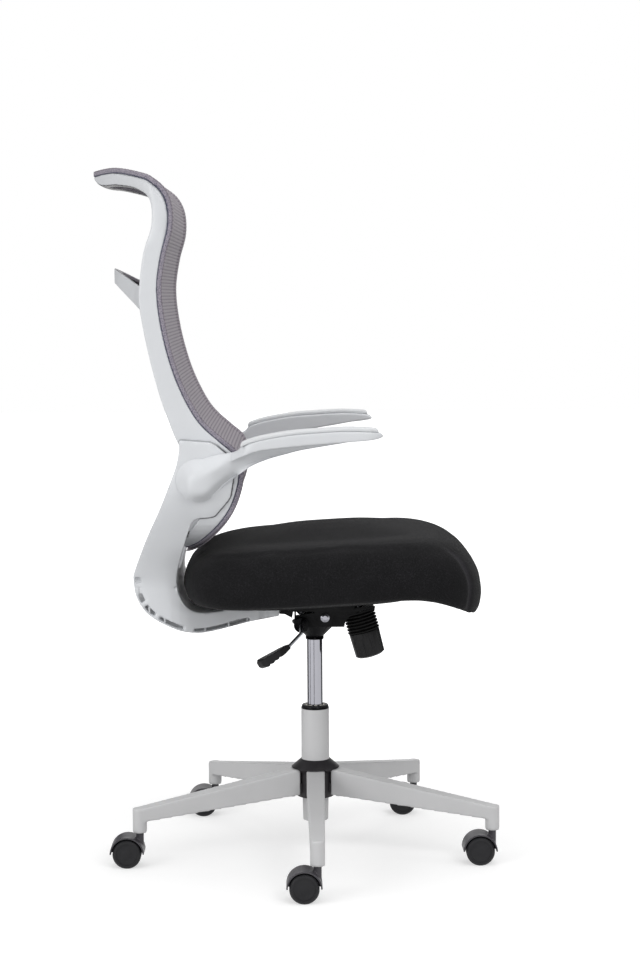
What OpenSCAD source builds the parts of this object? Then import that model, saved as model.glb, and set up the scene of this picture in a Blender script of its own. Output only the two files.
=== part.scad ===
// Office chair with a hoop-framed mesh back, flip-up arms, a rocking seat and a
// five-legged base on twin-wheel casters. The origin is on the floor under the
// gas lift. X points forward, Y to the chair's left and Z up, so the right arm
// is on the -Y side. Each piece is one module, and a group of equal fasteners
// is one module too.

/* [Base] */
// Radius of the circle that the caster stems stand on
stem_circle_r = 325; // [280:5:380]
// Height of the top of a leg at the hub
leg_root_z = 152; // [140:1:165]
// Height of the top of a leg at its tip
leg_tip_z = 103; // [95:1:115]
// Depth of a leg at the hub
leg_root_depth = 47; // [40:1:50]
// Depth of a leg at its tip
leg_tip_depth = 24; // [18:1:30]
// Width of a leg at the hub
leg_root_w = 33; // [28:1:36]
// Width of a leg at its tip
leg_tip_w = 25; // [20:0.5:26]
// Outside diameter of the stem socket at a leg's tip
socket_d = 25; // [22:0.5:28]
// Height of the lower face of a stem socket
socket_z = 60; // [58:1:64]
// Depth of the hollow under a leg
leg_hollow = 13; // [8:1:15]

/* [Hub and column] */
// Radius of the hub between the legs
hub_r = 33; // [31:1:36]
// Height of the hub's lower face
hub_z = 100; // [90:1:104]
// Radius of the cone on top of the hub
cone_r = 43; // [40:1:48]
// Height of the cone
cone_h = 15; // [10:1:20]
// Diameter of the column tube at its top
column_d = 50; // [48:1:54]
// Diameter of the column tube at its lower end
column_low_d = 45; // [42:1:47]
// Wall of the column tube
column_wall = 2; // [1.5:0.1:3]
// Height of the column tube's lower end above the floor
column_z = 56; // [50:1:60]
// Length of the column tube
column_l = 198; // [180:1:210]
// Height of the collar on top of the column tube
collar_h = 10; // [8:1:16]

/* [Gas lift] */
// Diameter of the gas cylinder
cylinder_d = 28; // [26:0.5:30]
// Length of the gas cylinder
cylinder_l = 252; // [240:1:260]
// Diameter of the piston rod
rod_d = 10; // [8:0.5:12]
// Height of the gas cylinder's top, with the seat raised
cylinder_top_z = 436; // [430:1:440]
// Diameter of the release pin
release_d = 8; // [6:0.5:9]
// Length of the release pin above the cylinder
release_l = 6; // [5:0.5:7]

/* [Casters] */
// Diameter of a wheel
wheel_d = 50; // [46:1:52]
// Width of one wheel
wheel_w = 19; // [16:0.5:21]
// Distance from the stem to the wheel axle
trail = 22; // [20:0.5:26]
// Thickness of the web between the two wheels
web_t = 7; // [6:0.5:9]
// Outside radius of the hood over the wheels
hood_r = 30; // [29:0.5:32]
// Thickness of the hood
hood_t = 2.6; // [2:0.1:3]
// Diameter of the axle
axle_d = 8; // [6:0.5:9]
// Diameter of the stem
stem_d = 11; // [10:0.5:11.5]
// Diameter of the hood's neck
neck_d = 13.5; // [13:0.5:16]

/* [Mechanism] */
// Height of the tilt axis
pivot_z = 431; // [429:1:433]
// Distance of the tilt axis in front of the column
pivot_x = 18; // [16:1:20]
// Half width of the housing
housing_half_w = 60; // [56:1:66]
// Wall of the housing
housing_wall = 3; // [2:0.5:4]
// Height of the housing's floor
floor_z = 414; // [411:1:414]
// Diameter of a pivot stud
stud_d = 10; // [8:0.5:11]
// Diameter of a pivot stud's head
stud_head_d = 15.5; // [14:0.5:17]
// Diameter of the lever rod
lever_d = 6; // [5:0.5:7]
// Distance of the lever's axis behind the column
lever_back = 24; // [23.5:0.5:25]
// Height of the lever's axis
lever_z = 419; // [418:0.5:420]
// Length of the lever's paddle
paddle_l = 67; // [56:1:76]
// Width of the lever's paddle
paddle_w = 22; // [18:1:26]
// Thickness of the lever's paddle
paddle_t = 12; // [10:0.5:14]

/* [Tension knob] */
// Lean of the knob's axis from upright
knob_lean = 15; // [13:0.5:16]
// Diameter of the knob at its top
knob_d = 54.8; // [50:0.2:56]
// Length of the knob
knob_l = 42; // [36:1:46]
// Distance of the knob's axis in front of the column, at the spring seat
knob_x = 77.8; // [77:0.2:79]
// Height of the spring seat on the knob's axis
knob_seat_z = 436.6; // [436:0.2:437.5]
// Length of the ribbed sleeve
sleeve_l = 41; // [38:1:44]
// Diameter over the sleeve's ribs
sleeve_d = 57.4; // [54:0.2:58]
// Number of ribs on the sleeve
sleeve_ribs = 7; // [5:1:9]
// Diameter of the tension bolt
bolt_d = 10; // [8:0.5:11]
// Wire of the tension spring
wire_d = 5; // [3.5:0.5:5.5]
// Number of turns of the tension spring
spring_turns = 5; // [4:1:5]

/* [Seat] */
// Height of the seat plate's lower face over the column
seat_z = 457.5; // [457:0.5:460]
// Rise of the seat to the front, in degrees
seat_rake = 3.15; // [2.8:0.05:3.4]
// Length of the cushion
seat_l = 522; // [490:2:530]
// Width of the cushion
seat_w = 490; // [460:2:500]
// Thickness of the cushion at its shoulder
seat_t = 100; // [80:1:105]
// Height of the crown above the shoulder
crown_h = 21; // [8:1:24]
// Drop of the waterfall front
front_drop = 30; // [15:1:34]
// Thickness of the seat pan
pan_t = 11; // [8:0.5:12]
// Thickness of the seat plate
plate_t = 3; // [2:0.5:4]
// Length of the seat plate
plate_l = 232; // [226:1:236]
// Width of the seat plate
plate_w = 150; // [146:1:160]

/* [Back support] */
// Reach of the support behind its front end
support_reach = 248; // [240:1:252]
// Height of the support
support_h = 342; // [330:1:350]
// Lowest height of the support
support_z = 414; // [410:1:416]
// Half width of the support at the arms
support_half_w = 238; // [236:1:240]
// Depth of the side pockets along the lower edge
pocket_depth = 5; // [3:0.5:8]

/* [Back] */
// Half width of the back frame
frame_half_w = 215; // [211:1:215]
// Width of the frame's rail, seen from the front
rail_w = 30; // [24:1:34]
// Height of the back, from its lower end to the top of the frame
back_h = 653; // [640:1:665]
// Depth of the back, from the head's rear end to the lumbar curve
back_depth = 255; // [250:1:258]
// Height of the back's lower end
back_z = 553; // [552:1:560]
// Thickness of the woven edge band
band_t = 8; // [5:0.5:9]
// Width of the woven edge band, seen from the front
band_w = 30; // [20:1:34]
// Thickness of the mesh
mesh_t = 2.5; // [1.5:0.1:3]
// Reach of the coat hanger behind the rails
hanger_reach = 58; // [50:1:64]
// Thickness of the coat hanger
hanger_t = 12; // [9:0.5:14]
// Thickness of the hanger's dark facing
facing_t = 2; // [1.5:0.1:3]

/* [Arms] */
// Radius of an arm's round root
root_r = 36; // [30:1:38]
// Width of an arm's web
web_w = 24; // [18:1:26]
// Length of an arm from its root's centre to the tip
arm_l = 308; // [290:1:320]
// Height of an arm's top over its root's centre
arm_h = 90; // [84:1:92]
// Half width of an arm pad
pad_half_w = 25; // [20:1:26]
// Thickness of an arm pad
pad_t = 6; // [5:0.5:9]
// Diameter of an arm pin
arm_pin_d = 16; // [12:0.5:18]

/* [Hidden] */
// Running clearance round a pin or axle
run_gap = 0.05;
// Clearance between pieces that pass each other
pass_gap = 0.3;
// Overrun of a cut
over = 1;
// Wide reach of a cut or mask
far = 900;
// Facets of a round piece
round_fn = 64;
// Steps in one stretch of an outline
steps = 4;
// Number of legs and casters
leg_count = 5;
// Angle of the first leg, toward the chair's right
first_leg_angle = -90;

// Curve helpers

// Point on a smooth curve through p1 and p2, at share t of the way
function curve_at(p0, p1, p2, p3, t) =
    ((2 * p1) + (p2 - p0) * t + (2 * p0 - 5 * p1 + 4 * p2 - p3) * t * t
    + (3 * p1 - p0 - 3 * p2 + p3) * t * t * t) / 2;

// Smooth line through a list of points
function smooth(p) = [
    for (i = [0 : len(p) - 2], k = [0 : steps - 1])
        curve_at(p[max(i - 1, 0)], p[i], p[i + 1], p[min(i + 2, len(p) - 1)], k / steps),
    p[len(p) - 1]];

// Places a list of shares in a box that starts at corner and has the given sizes
function placed(shares, corner, size) =
    [for (s = shares) [corner[0] + s[0] * size[0], corner[1] + s[1] * size[1]]];

function reversed(p) = [for (i = [len(p) - 1 : -1 : 0]) p[i]];

function unit2(v) = v / norm(v);

// Direction to the left of a line at point i
function left_of(p, i) =
    let (d = unit2(p[min(i + 1, len(p) - 1)] - p[max(i - 1, 0)])) [-d[1], d[0]];

// The line moved to its left
function beside(p, gap) = [for (i = [0 : len(p) - 1]) p[i] + gap * left_of(p, i)];

// Outline with a mirror half: y to both sides of a list of [along, half width]
function both_sides(p) = concat(p, reversed([for (q = p) [q[0], -q[1]]]));

// Rounded rectangle of a high-order ellipse, in counts of points
function rounded_plan(half_l, half_w, count) = [
    for (i = [0 : count - 1])
        let (a = 360 * i / count, c = cos(a), s = sin(a))
        [half_l * sign(c) * pow(abs(c), plan_power_share),
         half_w * sign(s) * pow(abs(s), plan_power_share)]];

// Prism from an outline in X and Z, between two Y places
module side_prism(outline, y0, y1)
    translate([0, y1, 0]) rotate([90, 0, 0]) linear_extrude(y1 - y0) polygon(outline);

// Prism from an outline in Y and Z, between two X places
module front_prism(outline, x0, x1)
    translate([x0, 0, 0]) rotate([90, 0, 90]) linear_extrude(x1 - x0) polygon(outline);

// Prism from an outline in X and Y, between two heights
module plan_prism(outline, z0, z1)
    translate([0, 0, z0]) linear_extrude(z1 - z0) polygon(outline);

// Round bar along Y, between two Y places
module bar_y(x, z, r, y0, y1)
    translate([x, y1, z]) rotate([90, 0, 0]) cylinder(r = r, h = y1 - y0, $fn = round_fn);

// Mirrors its children to the chair's left
module left_side() mirror([0, 1, 0]) children();

// Base

// Share of a superellipse's power that rounds the seat's plan
plan_power_share = 0.5;
// Height of the column tube's top
column_top_z = column_z + column_l;
// Height of the hub's top
hub_top_z = leg_root_z + cone_h;
// Reach of the hub's tongues into its ring
tongue_root = 4;
leg_start = hub_r - tongue_root;
// Wall under the hollow of a leg
leg_wall = 3;
// Diameter of a leg screw's shaft and head
leg_screw_d = 6;
leg_screw_head_d = 11;
// Length of a leg screw
leg_screw_l = 26;
// Distance of a leg screw from the column
leg_screw_r = hub_r + leg_screw_head_d;
// Height of a leg screw's head
leg_screw_head_h = 4;
// Thickness of the hub's tongue that a leg is screwed to
tongue_t = 16;

// Radius of the column tube's outside at a height
function column_r(z) = column_low_d / 2
    + (column_d - column_low_d) / 2 * min((z - column_z) / (hub_top_z - column_z), 1);

// Slope of a leg's top and underside
function leg_top(r) = leg_root_z
    - (leg_root_z - leg_tip_z) * (r - hub_r) / (stem_circle_r - hub_r);
function leg_low(r) = leg_top(r) - leg_root_depth
    + (leg_root_depth - leg_tip_depth) * (r - hub_r) / (stem_circle_r - hub_r);

module each_leg() for (i = [0 : leg_count - 1])
    rotate([0, 0, first_leg_angle + 360 * i / leg_count]) children();

// Slim tongue on the hub that reaches under the top of each leg
tongue_l = 26;
tongue_w = leg_root_w - 2 * leg_wall;

module hub_tongue(grow) {
    r1 = hub_r + tongue_l;
    side_prism([[leg_start, leg_low(leg_start) + leg_screw_head_h - grow],
        [r1 + grow, leg_low(r1) + leg_screw_head_h - grow],
        [r1 + grow, leg_low(r1) + leg_screw_head_h + tongue_t + grow],
        [leg_start, leg_low(leg_start) + leg_screw_head_h + tongue_t + grow]],
        -tongue_w / 2 - grow, tongue_w / 2 + grow);
}

module leg_screw_hole(d, z0, z1) each_leg()
    translate([leg_screw_r, 0, z0]) cylinder(d = d, h = z1 - z0, $fn = round_fn);

module hub() color("#2b292c") {
    screw_z = leg_low(leg_screw_r);
    difference() {
        union() {
            difference() {
                rotate_extrude($fn = round_fn) polygon([
                    [column_low_d / 3, hub_z], [hub_r, hub_z],
                    [hub_r, leg_root_z - cone_h / 2], [cone_r, leg_root_z],
                    [column_r(hub_top_z) + over + run_gap, hub_top_z],
                    [column_low_d / 3, hub_top_z]]);
                each_leg() leg_space();
            }
            each_leg() hub_tongue(0);
        }
        leg_screw_hole(leg_screw_d + 2 * run_gap, screw_z, leg_top(leg_screw_r));
        translate([0, 0, column_z]) rotate_extrude($fn = round_fn) polygon([
            [0, 0], [column_r(column_z) + run_gap, 0],
            [column_r(hub_top_z) + run_gap, hub_top_z - column_z],
            [0, hub_top_z - column_z]]);
    }
}

// Space of a leg's root that the hub's cone leaves free
module leg_space() translate([hub_r + run_gap, -leg_root_w / 2 - run_gap, hub_z])
    cube([far, leg_root_w + 2 * run_gap, leg_root_z + run_gap - hub_z]);

module leg_outer() {
    tip = stem_circle_r;
    intersection() {
        side_prism([[hub_r + 2 * run_gap, leg_low(hub_r)], [tip, leg_low(tip)],
            [tip, leg_top(tip)], [hub_r + 2 * run_gap, leg_top(hub_r) - run_gap]], -far, far);
        plan_prism([[0, -leg_root_w / 2], [tip, -leg_tip_w / 2],
            [tip, leg_tip_w / 2], [0, leg_root_w / 2]], 0, far);
    }
}

module leg_inner() {
    r0 = hub_r + tongue_l + leg_wall;
    r1 = stem_circle_r - socket_d / 2 - leg_wall;
    intersection() {
        side_prism([[r0, leg_low(r0) - over], [r1, leg_low(r1) - over],
            [r1, leg_low(r1) + leg_hollow * leg_tip_depth / leg_root_depth],
            [r0, leg_low(r0) + leg_hollow]], -far, far);
        plan_prism([[0, -leg_root_w / 2 + leg_wall], [stem_circle_r, -leg_tip_w / 2 + leg_wall],
            [stem_circle_r, leg_tip_w / 2 - leg_wall], [0, leg_root_w / 2 - leg_wall]], 0, far);
    }
}

module star_legs() color("#bebebf") difference() {
    each_leg() difference() {
        union() {
            leg_outer();
            translate([stem_circle_r, 0, socket_z])
                cylinder(d = socket_d, h = leg_top(stem_circle_r) - socket_z, $fn = round_fn);
        }
        leg_inner();
        hub_tongue(run_gap);
        translate([stem_circle_r, 0, socket_z - over])
            cylinder(d = stem_d + 2 * run_gap, h = stem_grip_l + 2 * over, $fn = round_fn);
    }
    leg_screw_hole(leg_screw_d + 2 * run_gap, leg_low(leg_screw_r) - over,
        leg_low(leg_screw_r) + leg_screw_l);
    leg_screw_hole(leg_screw_head_d + 2 * pass_gap, leg_low(leg_screw_r) - 2 * over,
        leg_low(leg_screw_r) + over);
}

module leg_screws() color("#55565a") each_leg() translate([leg_screw_r, 0, 0]) {
    z0 = leg_low(leg_screw_r) + over;
    translate([0, 0, z0 - leg_screw_head_h])
        cylinder(d = leg_screw_head_d, h = leg_screw_head_h, $fn = round_fn);
    translate([0, 0, z0]) cylinder(d = leg_screw_d, h = leg_screw_l - 2 * over, $fn = round_fn);
}

// Column and gas lift

bush_t = 5;
clip_t = 2;
bearing_h = 8;
// Height of the tube's inside floor
column_floor_t = 3;
column_floor_z = column_z + column_floor_t;
cylinder_wall = 3;
cylinder_cap = 12;
// Travel of the gas lift, and room left over the rod's top at its lowest
lift_travel = 100;
rod_end_room = 24;
rod_top_z = cylinder_top_z - cylinder_cap - lift_travel - rod_end_room;

module column_tube() color("#b6b6b4") difference() {
    rotate_extrude($fn = round_fn) polygon([
        [0, column_z], [column_r(column_z), column_z],
        [column_r(hub_top_z), hub_top_z], [column_d / 2, column_top_z],
        [column_d / 2 - column_wall, column_top_z],
        [column_r(hub_top_z) - column_wall, hub_top_z],
        [column_r(column_z) - column_wall, column_floor_z], [0, column_floor_z]]);
    translate([0, 0, column_z - over])
        cylinder(d = rod_d + 2 * run_gap, h = 2 * over + column_floor_z - column_z,
            $fn = round_fn);
}

module column_collar() color("#1b1b1c") difference() {
    rotate_extrude($fn = round_fn) polygon([
        [0, column_top_z], [column_d / 2, column_top_z],
        [column_d / 2, column_top_z + collar_h / 2],
        [column_d / 2 - column_wall, column_top_z + collar_h],
        [0, column_top_z + collar_h]]);
    translate([0, 0, column_top_z - over])
        cylinder(d = cylinder_d + 2 * run_gap, h = collar_h + 2 * over, $fn = round_fn);
}

// Plastic bush that guides the cylinder in the upper half of the tube
bush_l = column_l / 3;

module guide_bush() color("#e7e4da") difference() {
    translate([0, 0, column_top_z - bush_l])
        cylinder(d = column_d - 2 * column_wall - 2 * run_gap, h = bush_l, $fn = round_fn);
    translate([0, 0, column_top_z - bush_l - over])
        cylinder(d = cylinder_d + 2 * run_gap, h = bush_l + 2 * over, $fn = round_fn);
}

module thrust_bearing() color("#a9abb0") translate([0, 0, column_floor_z]) difference() {
    cylinder(d = cylinder_d, h = bearing_h, $fn = round_fn);
    translate([0, 0, -over])
        cylinder(d = rod_d + 2 * run_gap, h = bearing_h + 2 * over, $fn = round_fn);
}

// Length of the rod's end below the tube
rod_tail = 5;

module rod_clip() color("#8f9196") translate([0, 0, column_z - clip_t - pass_gap]) difference() {
    cylinder(d = 2 * rod_d, h = clip_t, $fn = round_fn);
    translate([0, 0, -over])
        cylinder(d = rod_d + run_gap, h = clip_t + 2 * over, $fn = round_fn);
}

// Shoulder of the rod that stands on the thrust bearing
shoulder_h = 6;

module piston_rod() color("#c9ccd2") {
    translate([0, 0, column_z - rod_tail])
        cylinder(d = rod_d, h = rod_top_z - column_z + rod_tail, $fn = round_fn);
    translate([0, 0, column_floor_z + bearing_h + pass_gap])
        cylinder(d = 2 * rod_d, h = shoulder_h, $fn = round_fn);
}

module gas_cylinder() color("#b9b9c3") difference() {
    translate([0, 0, cylinder_top_z - cylinder_l])
        cylinder(d = cylinder_d, h = cylinder_l, $fn = round_fn);
    translate([0, 0, cylinder_top_z - cylinder_l - over])
        cylinder(d = rod_d + 2 * run_gap, h = cylinder_cap + 2 * over, $fn = round_fn);
    translate([0, 0, cylinder_top_z - cylinder_l + cylinder_cap])
        cylinder(d = cylinder_d - 2 * cylinder_wall, h = cylinder_l - 2 * cylinder_cap,
            $fn = round_fn);
    translate([0, 0, cylinder_top_z - cylinder_cap - over])
        cylinder(d = release_d + 2 * run_gap, h = cylinder_cap + 2 * over, $fn = round_fn);
}

module release_pin() color("#d0d2d6")
    translate([0, 0, cylinder_top_z - cylinder_cap])
        cylinder(d = release_d, h = cylinder_cap + release_l, $fn = round_fn);

// Casters

axle_z = wheel_d / 2;
// Reach of the stem into the leg's socket
stem_grip_l = 36;
// Gap between the web and a wheel
wheel_gap = 0.4;
wheel_y = web_t / 2 + wheel_gap;
// Half width of the hood
hood_half_w = wheel_y + wheel_w;
// Depth of the hub cap's recess in a wheel
cap_depth = 2;
// Rounding of a wheel's tread edges
wheel_edge = 3;

module at_caster(i) {
    a = first_leg_angle + 360 * i / leg_count;
    translate([stem_circle_r * cos(a), stem_circle_r * sin(a), 0]) children();
}

module hood_body() difference() {
    union() {
        difference() {
            bar_y(-trail, axle_z, hood_r, -hood_half_w, hood_half_w);
            bar_y(-trail, axle_z, hood_r - hood_t, -hood_half_w - over, -web_t / 2);
            bar_y(-trail, axle_z, hood_r - hood_t, web_t / 2, hood_half_w + over);
            translate([-trail - far / 2, -far / 2, axle_z - far]) cube([far, far, far]);
        }
        bar_y(-trail, axle_z, axle_d, -web_t / 2, web_t / 2);
        difference() {
            translate([0, 0, axle_z]) cylinder(d = neck_d, h = socket_z - pass_gap - axle_z,
                $fn = round_fn);
            bar_y(-trail, axle_z, hood_r - hood_t, -hood_half_w, -web_t / 2);
            bar_y(-trail, axle_z, hood_r - hood_t, web_t / 2, hood_half_w);
        }
    }
    bar_y(-trail, axle_z, axle_d / 2 + run_gap / 2, -web_t, web_t);
    translate([0, 0, axle_z + stem_foot]) cylinder(d = stem_d + run_gap, h = far, $fn = round_fn);
}

// Height of the stem's foot over the axle, inside the neck
stem_foot = 14;

module stem_body() {
    translate([0, 0, axle_z + stem_foot])
        cylinder(d = stem_d, h = socket_z + stem_grip_l - axle_z - stem_foot, $fn = round_fn);
    bar_y(-trail, axle_z, axle_d / 2, -hood_half_w + cap_depth * 2, hood_half_w - cap_depth * 2);
}

module wheel_body() {
    w = wheel_w;
    r = wheel_d / 2;
    translate([-trail, -wheel_y, axle_z]) rotate([90, 0, 0]) difference() {
        rotate_extrude($fn = round_fn) polygon([
            [axle_d / 2 + run_gap, 0], [r - wheel_edge, 0], [r, wheel_edge], [r, w - wheel_edge],
            [r - wheel_edge, w], [r - 2 * wheel_edge, w], [r - 2 * wheel_edge, w - cap_depth],
            [axle_d / 2 + run_gap, w - cap_depth]]);
        translate([0, 0, w - 2 * cap_depth]) cylinder(r = axle_d, h = w, $fn = round_fn);
    }
    translate([-trail, -wheel_y - w + 2 * cap_depth - run_gap, axle_z]) rotate([90, 0, 0])
        cylinder(r = axle_d, h = cap_depth, $fn = round_fn);
}

module caster_hood(i) color("#4a484d") at_caster(i) hood_body();
module caster_stem(i) color("#9a9ca1") at_caster(i) stem_body();
module wheel_right(i) color("#2d2d2f") at_caster(i) wheel_body();
module wheel_left(i) color("#2d2d2f") at_caster(i) left_side() wheel_body();

// Mechanism

// Distance from the column to the housing's rear and front ends
housing_back_share = 0.6;
housing_rear = housing_half_w * housing_back_share;
housing_front = 106;
// Heights of the housing's top edge at the rear and at the front
housing_rear_rise = 4;
housing_front_rise = 20;
housing_rear_top = pivot_z + housing_rear_rise;
housing_front_top = pivot_z + housing_front_rise;
// Start and height of the housing's bulge over the sleeve
housing_bulge_share = 0.45;
housing_belly_share = 0.86;
cup_wall = 2.2;
cup_r = cylinder_d / 2 + cup_wall;
cup_z = 384;
cup_lip = 6;
cup_top_drop = 4;
cup_top_z = cylinder_top_z - cup_top_drop;
cone_out = floor_z - cup_z - cup_lip;
lever_boss_r = 13;
lever_boss_l = 12;
bolt_slack = 11;

// Frame on the knob's axis: local Z runs down the axis from the spring seat
module on_knob_axis()
    translate([knob_x, 0, knob_seat_z]) rotate([0, 180 - knob_lean, 0]) children();

module housing_cup() rotate_extrude($fn = round_fn) polygon([
    [0, cup_z], [cup_r, cup_z], [cup_r, cup_z + cup_lip],
    [cup_r + cone_out, floor_z], [cup_r + cone_out, floor_z + housing_wall],
    [cup_r + housing_wall, floor_z + housing_wall], [cup_r + housing_wall, cup_top_z],
    [0, cup_top_z]]);

// Side outline of the housing, from its rear top corner round its underside
function housing_outline() = concat(
    [[-housing_rear, housing_rear_top], [-housing_rear, floor_z + lever_boss_r],
     [-housing_rear + lever_boss_r, floor_z], [knob_x - sleeve_d * housing_bulge_share, floor_z]],
    [for (k = [1 : steps * 2]) let (a = 90 * k / (steps * 2),
        w = housing_front - knob_x + sleeve_d * housing_bulge_share,
        h = housing_front_top - floor_z)
        [housing_front - w * cos(a), floor_z + h * sin(a) * housing_belly_share]],
    [[housing_front, housing_front_top]]);

module mech_housing() color("#151516") difference() {
    union() {
        difference() {
            side_prism(housing_outline(), -housing_half_w, housing_half_w);
            translate([-housing_rear + housing_wall, -housing_half_w + housing_wall,
                floor_z + housing_wall])
                cube([far, 2 * (housing_half_w - housing_wall), far]);
        }
        intersection() {
            on_knob_axis() translate([-sleeve_d / 2, -housing_half_w, -housing_wall])
                cube([sleeve_d, 2 * housing_half_w, housing_wall]);
            translate([0, -far / 2, 0]) cube([far, far, far]);
        }
        housing_cup();
        bar_y(-lever_back, lever_z, lever_boss_r, -housing_half_w - lever_boss_l,
            -housing_half_w + over);
    }
    translate([0, 0, cup_z - over])
        cylinder(d = cylinder_d + 2 * run_gap, h = far, $fn = round_fn);
    bar_y(pivot_x, pivot_z, stud_d / 2 + run_gap, -far, -housing_half_w + 2 * housing_wall);
    bar_y(pivot_x, pivot_z, stud_d / 2 + run_gap, housing_half_w - 2 * housing_wall, far);
    bar_y(-lever_back, lever_z, lever_d / 2 + run_gap, -far, far);
    on_knob_axis() translate([0, 0, -far / 2 + housing_wall])
        cylinder(r = bolt_slack, h = far / 2, $fn = round_fn);
    sleeve_room();
}

// Room for the sleeve and the spring in the housing's underside
module sleeve_room() on_knob_axis()
    cylinder(d = sleeve_d + 2 * pass_gap, h = sleeve_l, $fn = round_fn);

ear_t = 3;
ear_y = housing_half_w + pass_gap;
ear_r = 14;
stud_head_h = 4;

module pivot_stud() {
    y1 = -housing_half_w + housing_wall;
    bar_y(pivot_x, pivot_z, stud_d / 2, -ear_y - ear_t, y1 + 2 * over);
    translate([pivot_x, -ear_y - ear_t, pivot_z]) rotate([90, 0, 0])
        rotate_extrude($fn = round_fn) polygon([[0, 0], [stud_head_d / 2, 0],
            [stud_head_d / 2, stud_head_h / 2], [stud_head_d / 4, stud_head_h], [0, stud_head_h]]);
}

module pivot_studs() color("#c8cbd0") {
    pivot_stud();
    left_side() pivot_stud();
}

// Lever

// Turn of the lever that opens the lift, in degrees
lever_lift_angle = 8;
finger_w = 10;
finger_t = 4;
// Length of the rod's straight run outside the housing, and its bend
lever_out = 96;
rod_bend = [-21, -26, -18];
// Run of the paddle from its rear to its front end, and its roll
paddle_run = [-50, -46, -26];
paddle_roll_angle = 18;
// Diameter of the rod's bends as a share of the rod's
bend_share = 1.06;
// Reach of the rod into the paddle
rod_grip = 24;

// Points of the rod outside the housing, from its axis to the paddle
lever_start = [-lever_back, -housing_half_w - lever_boss_l, lever_z];
lever_knee = [-lever_back, -housing_half_w - lever_out, lever_z];
lever_end = lever_knee + rod_bend;
lever_tip = lever_end + rod_grip * paddle_run / norm(paddle_run);

// Round bar between two points
module bar_between(a, b, d) {
    v = b - a;
    translate(a) rotate([0, acos(v[2] / norm(v)), atan2(v[1], v[0])])
        cylinder(d = d, h = norm(v), $fn = round_fn / 2);
}

module lever_rod() color("#a4a6ab") {
    finger_z = cylinder_top_z + release_l + pass_gap;
    bar_y(-lever_back, lever_z, lever_d / 2, lever_knee[1], housing_half_w + housing_wall);
    bar_between(lever_knee, lever_end, lever_d);
    bar_between(lever_end, lever_tip, lever_d);
    translate(lever_knee) sphere(d = lever_d * bend_share, $fn = round_fn / 2);
    translate(lever_end) sphere(d = lever_d * bend_share, $fn = round_fn / 2);
    side_prism([[-lever_back - finger_t / 2, lever_z], [-lever_back + finger_t / 2, lever_z],
        [-lever_back + finger_t / 2, finger_z], [release_d / 2, finger_z],
        [release_d / 2, finger_z + finger_t / 2], [0, finger_z + finger_t],
        [-lever_back - finger_t / 2, finger_z + finger_t]], -finger_w / 2, finger_w / 2);
}

// Scallops on the paddle's underside
scallop_count = 3;
scallop_start_share = 0.28;
scallop_pitch_share = 0.17;
scallop_drop_share = 0.75;
scallop_r_share = 0.4;
paddle_start = 3;
// Side and half plan of the paddle, as shares of its length and of its thickness or width
paddle_side_shares = [[0, -0.3], [0.25, -0.5], [0.9, -0.5], [1, -0.2], [1, 0.3], [0.9, 0.5],
    [0.2, 0.5], [0, 0.4]];
paddle_plan_shares = [[0, 0.3], [0.4, 0.5], [0.9, 0.5], [1, 0.3]];

// Frame with local X along the paddle, from the rod's end
module at_paddle() {
    v = paddle_run;
    translate(lever_end) rotate([0, 0, atan2(v[1], v[0])])
        rotate([0, acos(v[2] / norm(v)) - 90, 0]) rotate([paddle_roll_angle, 0, 0]) children();
}

module lever_paddle() color("#202022") at_paddle() difference() {
    translate([paddle_start, 0, 0]) intersection() {
        side_prism(placed(paddle_side_shares, [0, 0], [paddle_l, paddle_t]), -paddle_w, paddle_w);
        plan_prism(both_sides(placed(paddle_plan_shares, [0, 0], [paddle_l, paddle_w])),
            -paddle_t, paddle_t);
    }
    rotate([0, 90, 0])
        cylinder(d = lever_d + 2 * run_gap, h = rod_grip + pass_gap, $fn = round_fn / 2);
    for (k = [1 : scallop_count])
        bar_y(paddle_start + paddle_l * (scallop_start_share + scallop_pitch_share * k),
            -paddle_t * scallop_drop_share, paddle_t * scallop_r_share, -paddle_w, paddle_w);
}

// Tension knob

washer_t = 3;
sleeve_wall = 1.6;
rib_h = 4.6;
bolt_top = 22;
bolt_grip_share = 0.55;
bolt_l = bolt_top + sleeve_l + knob_l * bolt_grip_share;
knob_bore_share = 0.8;
dome_h = 5;
knob_end_drop = 2;
grip_count = 10;
grip_r = 3;
grip_out_share = 0.4;

module tension_bolt() color("#8d9095") on_knob_axis() translate([0, 0, -bolt_top + pass_gap])
    cylinder(d = bolt_d, h = bolt_l, $fn = round_fn);

module thrust_washer() color("#b4b7bb") on_knob_axis() translate([0, 0, sleeve_l - washer_t])
    difference() {
        cylinder(r = sleeve_d / 2 - rib_h - sleeve_wall - 2 * pass_gap, h = washer_t - pass_gap / 3,
            $fn = round_fn);
        translate([0, 0, -over])
            cylinder(d = bolt_d + 2 * run_gap, h = washer_t + 2 * over, $fn = round_fn);
    }

module tension_knob() color("#252526") on_knob_axis() translate([0, 0, sleeve_l])
    difference() {
        rotate_extrude($fn = round_fn) polygon([[0, 0], [knob_d / 2, 0],
            [knob_d / 2 - over, knob_l - dome_h], [knob_d / 2 - over - dome_h, knob_l - knob_end_drop],
            [knob_d / 5, knob_l], [0, knob_l]]);
        translate([0, 0, -over])
            cylinder(d = bolt_d + 2 * run_gap, h = knob_l * knob_bore_share + over, $fn = round_fn);
        for (k = [0 : grip_count - 1]) rotate([0, 0, 360 * k / grip_count])
            translate([knob_d / 2 + grip_r * grip_out_share, 0, knob_l / 4])
                cylinder(r = grip_r, h = knob_l, $fn = round_fn / 2);
    }

// Places of a rib's four points in its pitch
rib_shares = [0, 0.35, 0.65, 0.999];

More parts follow.
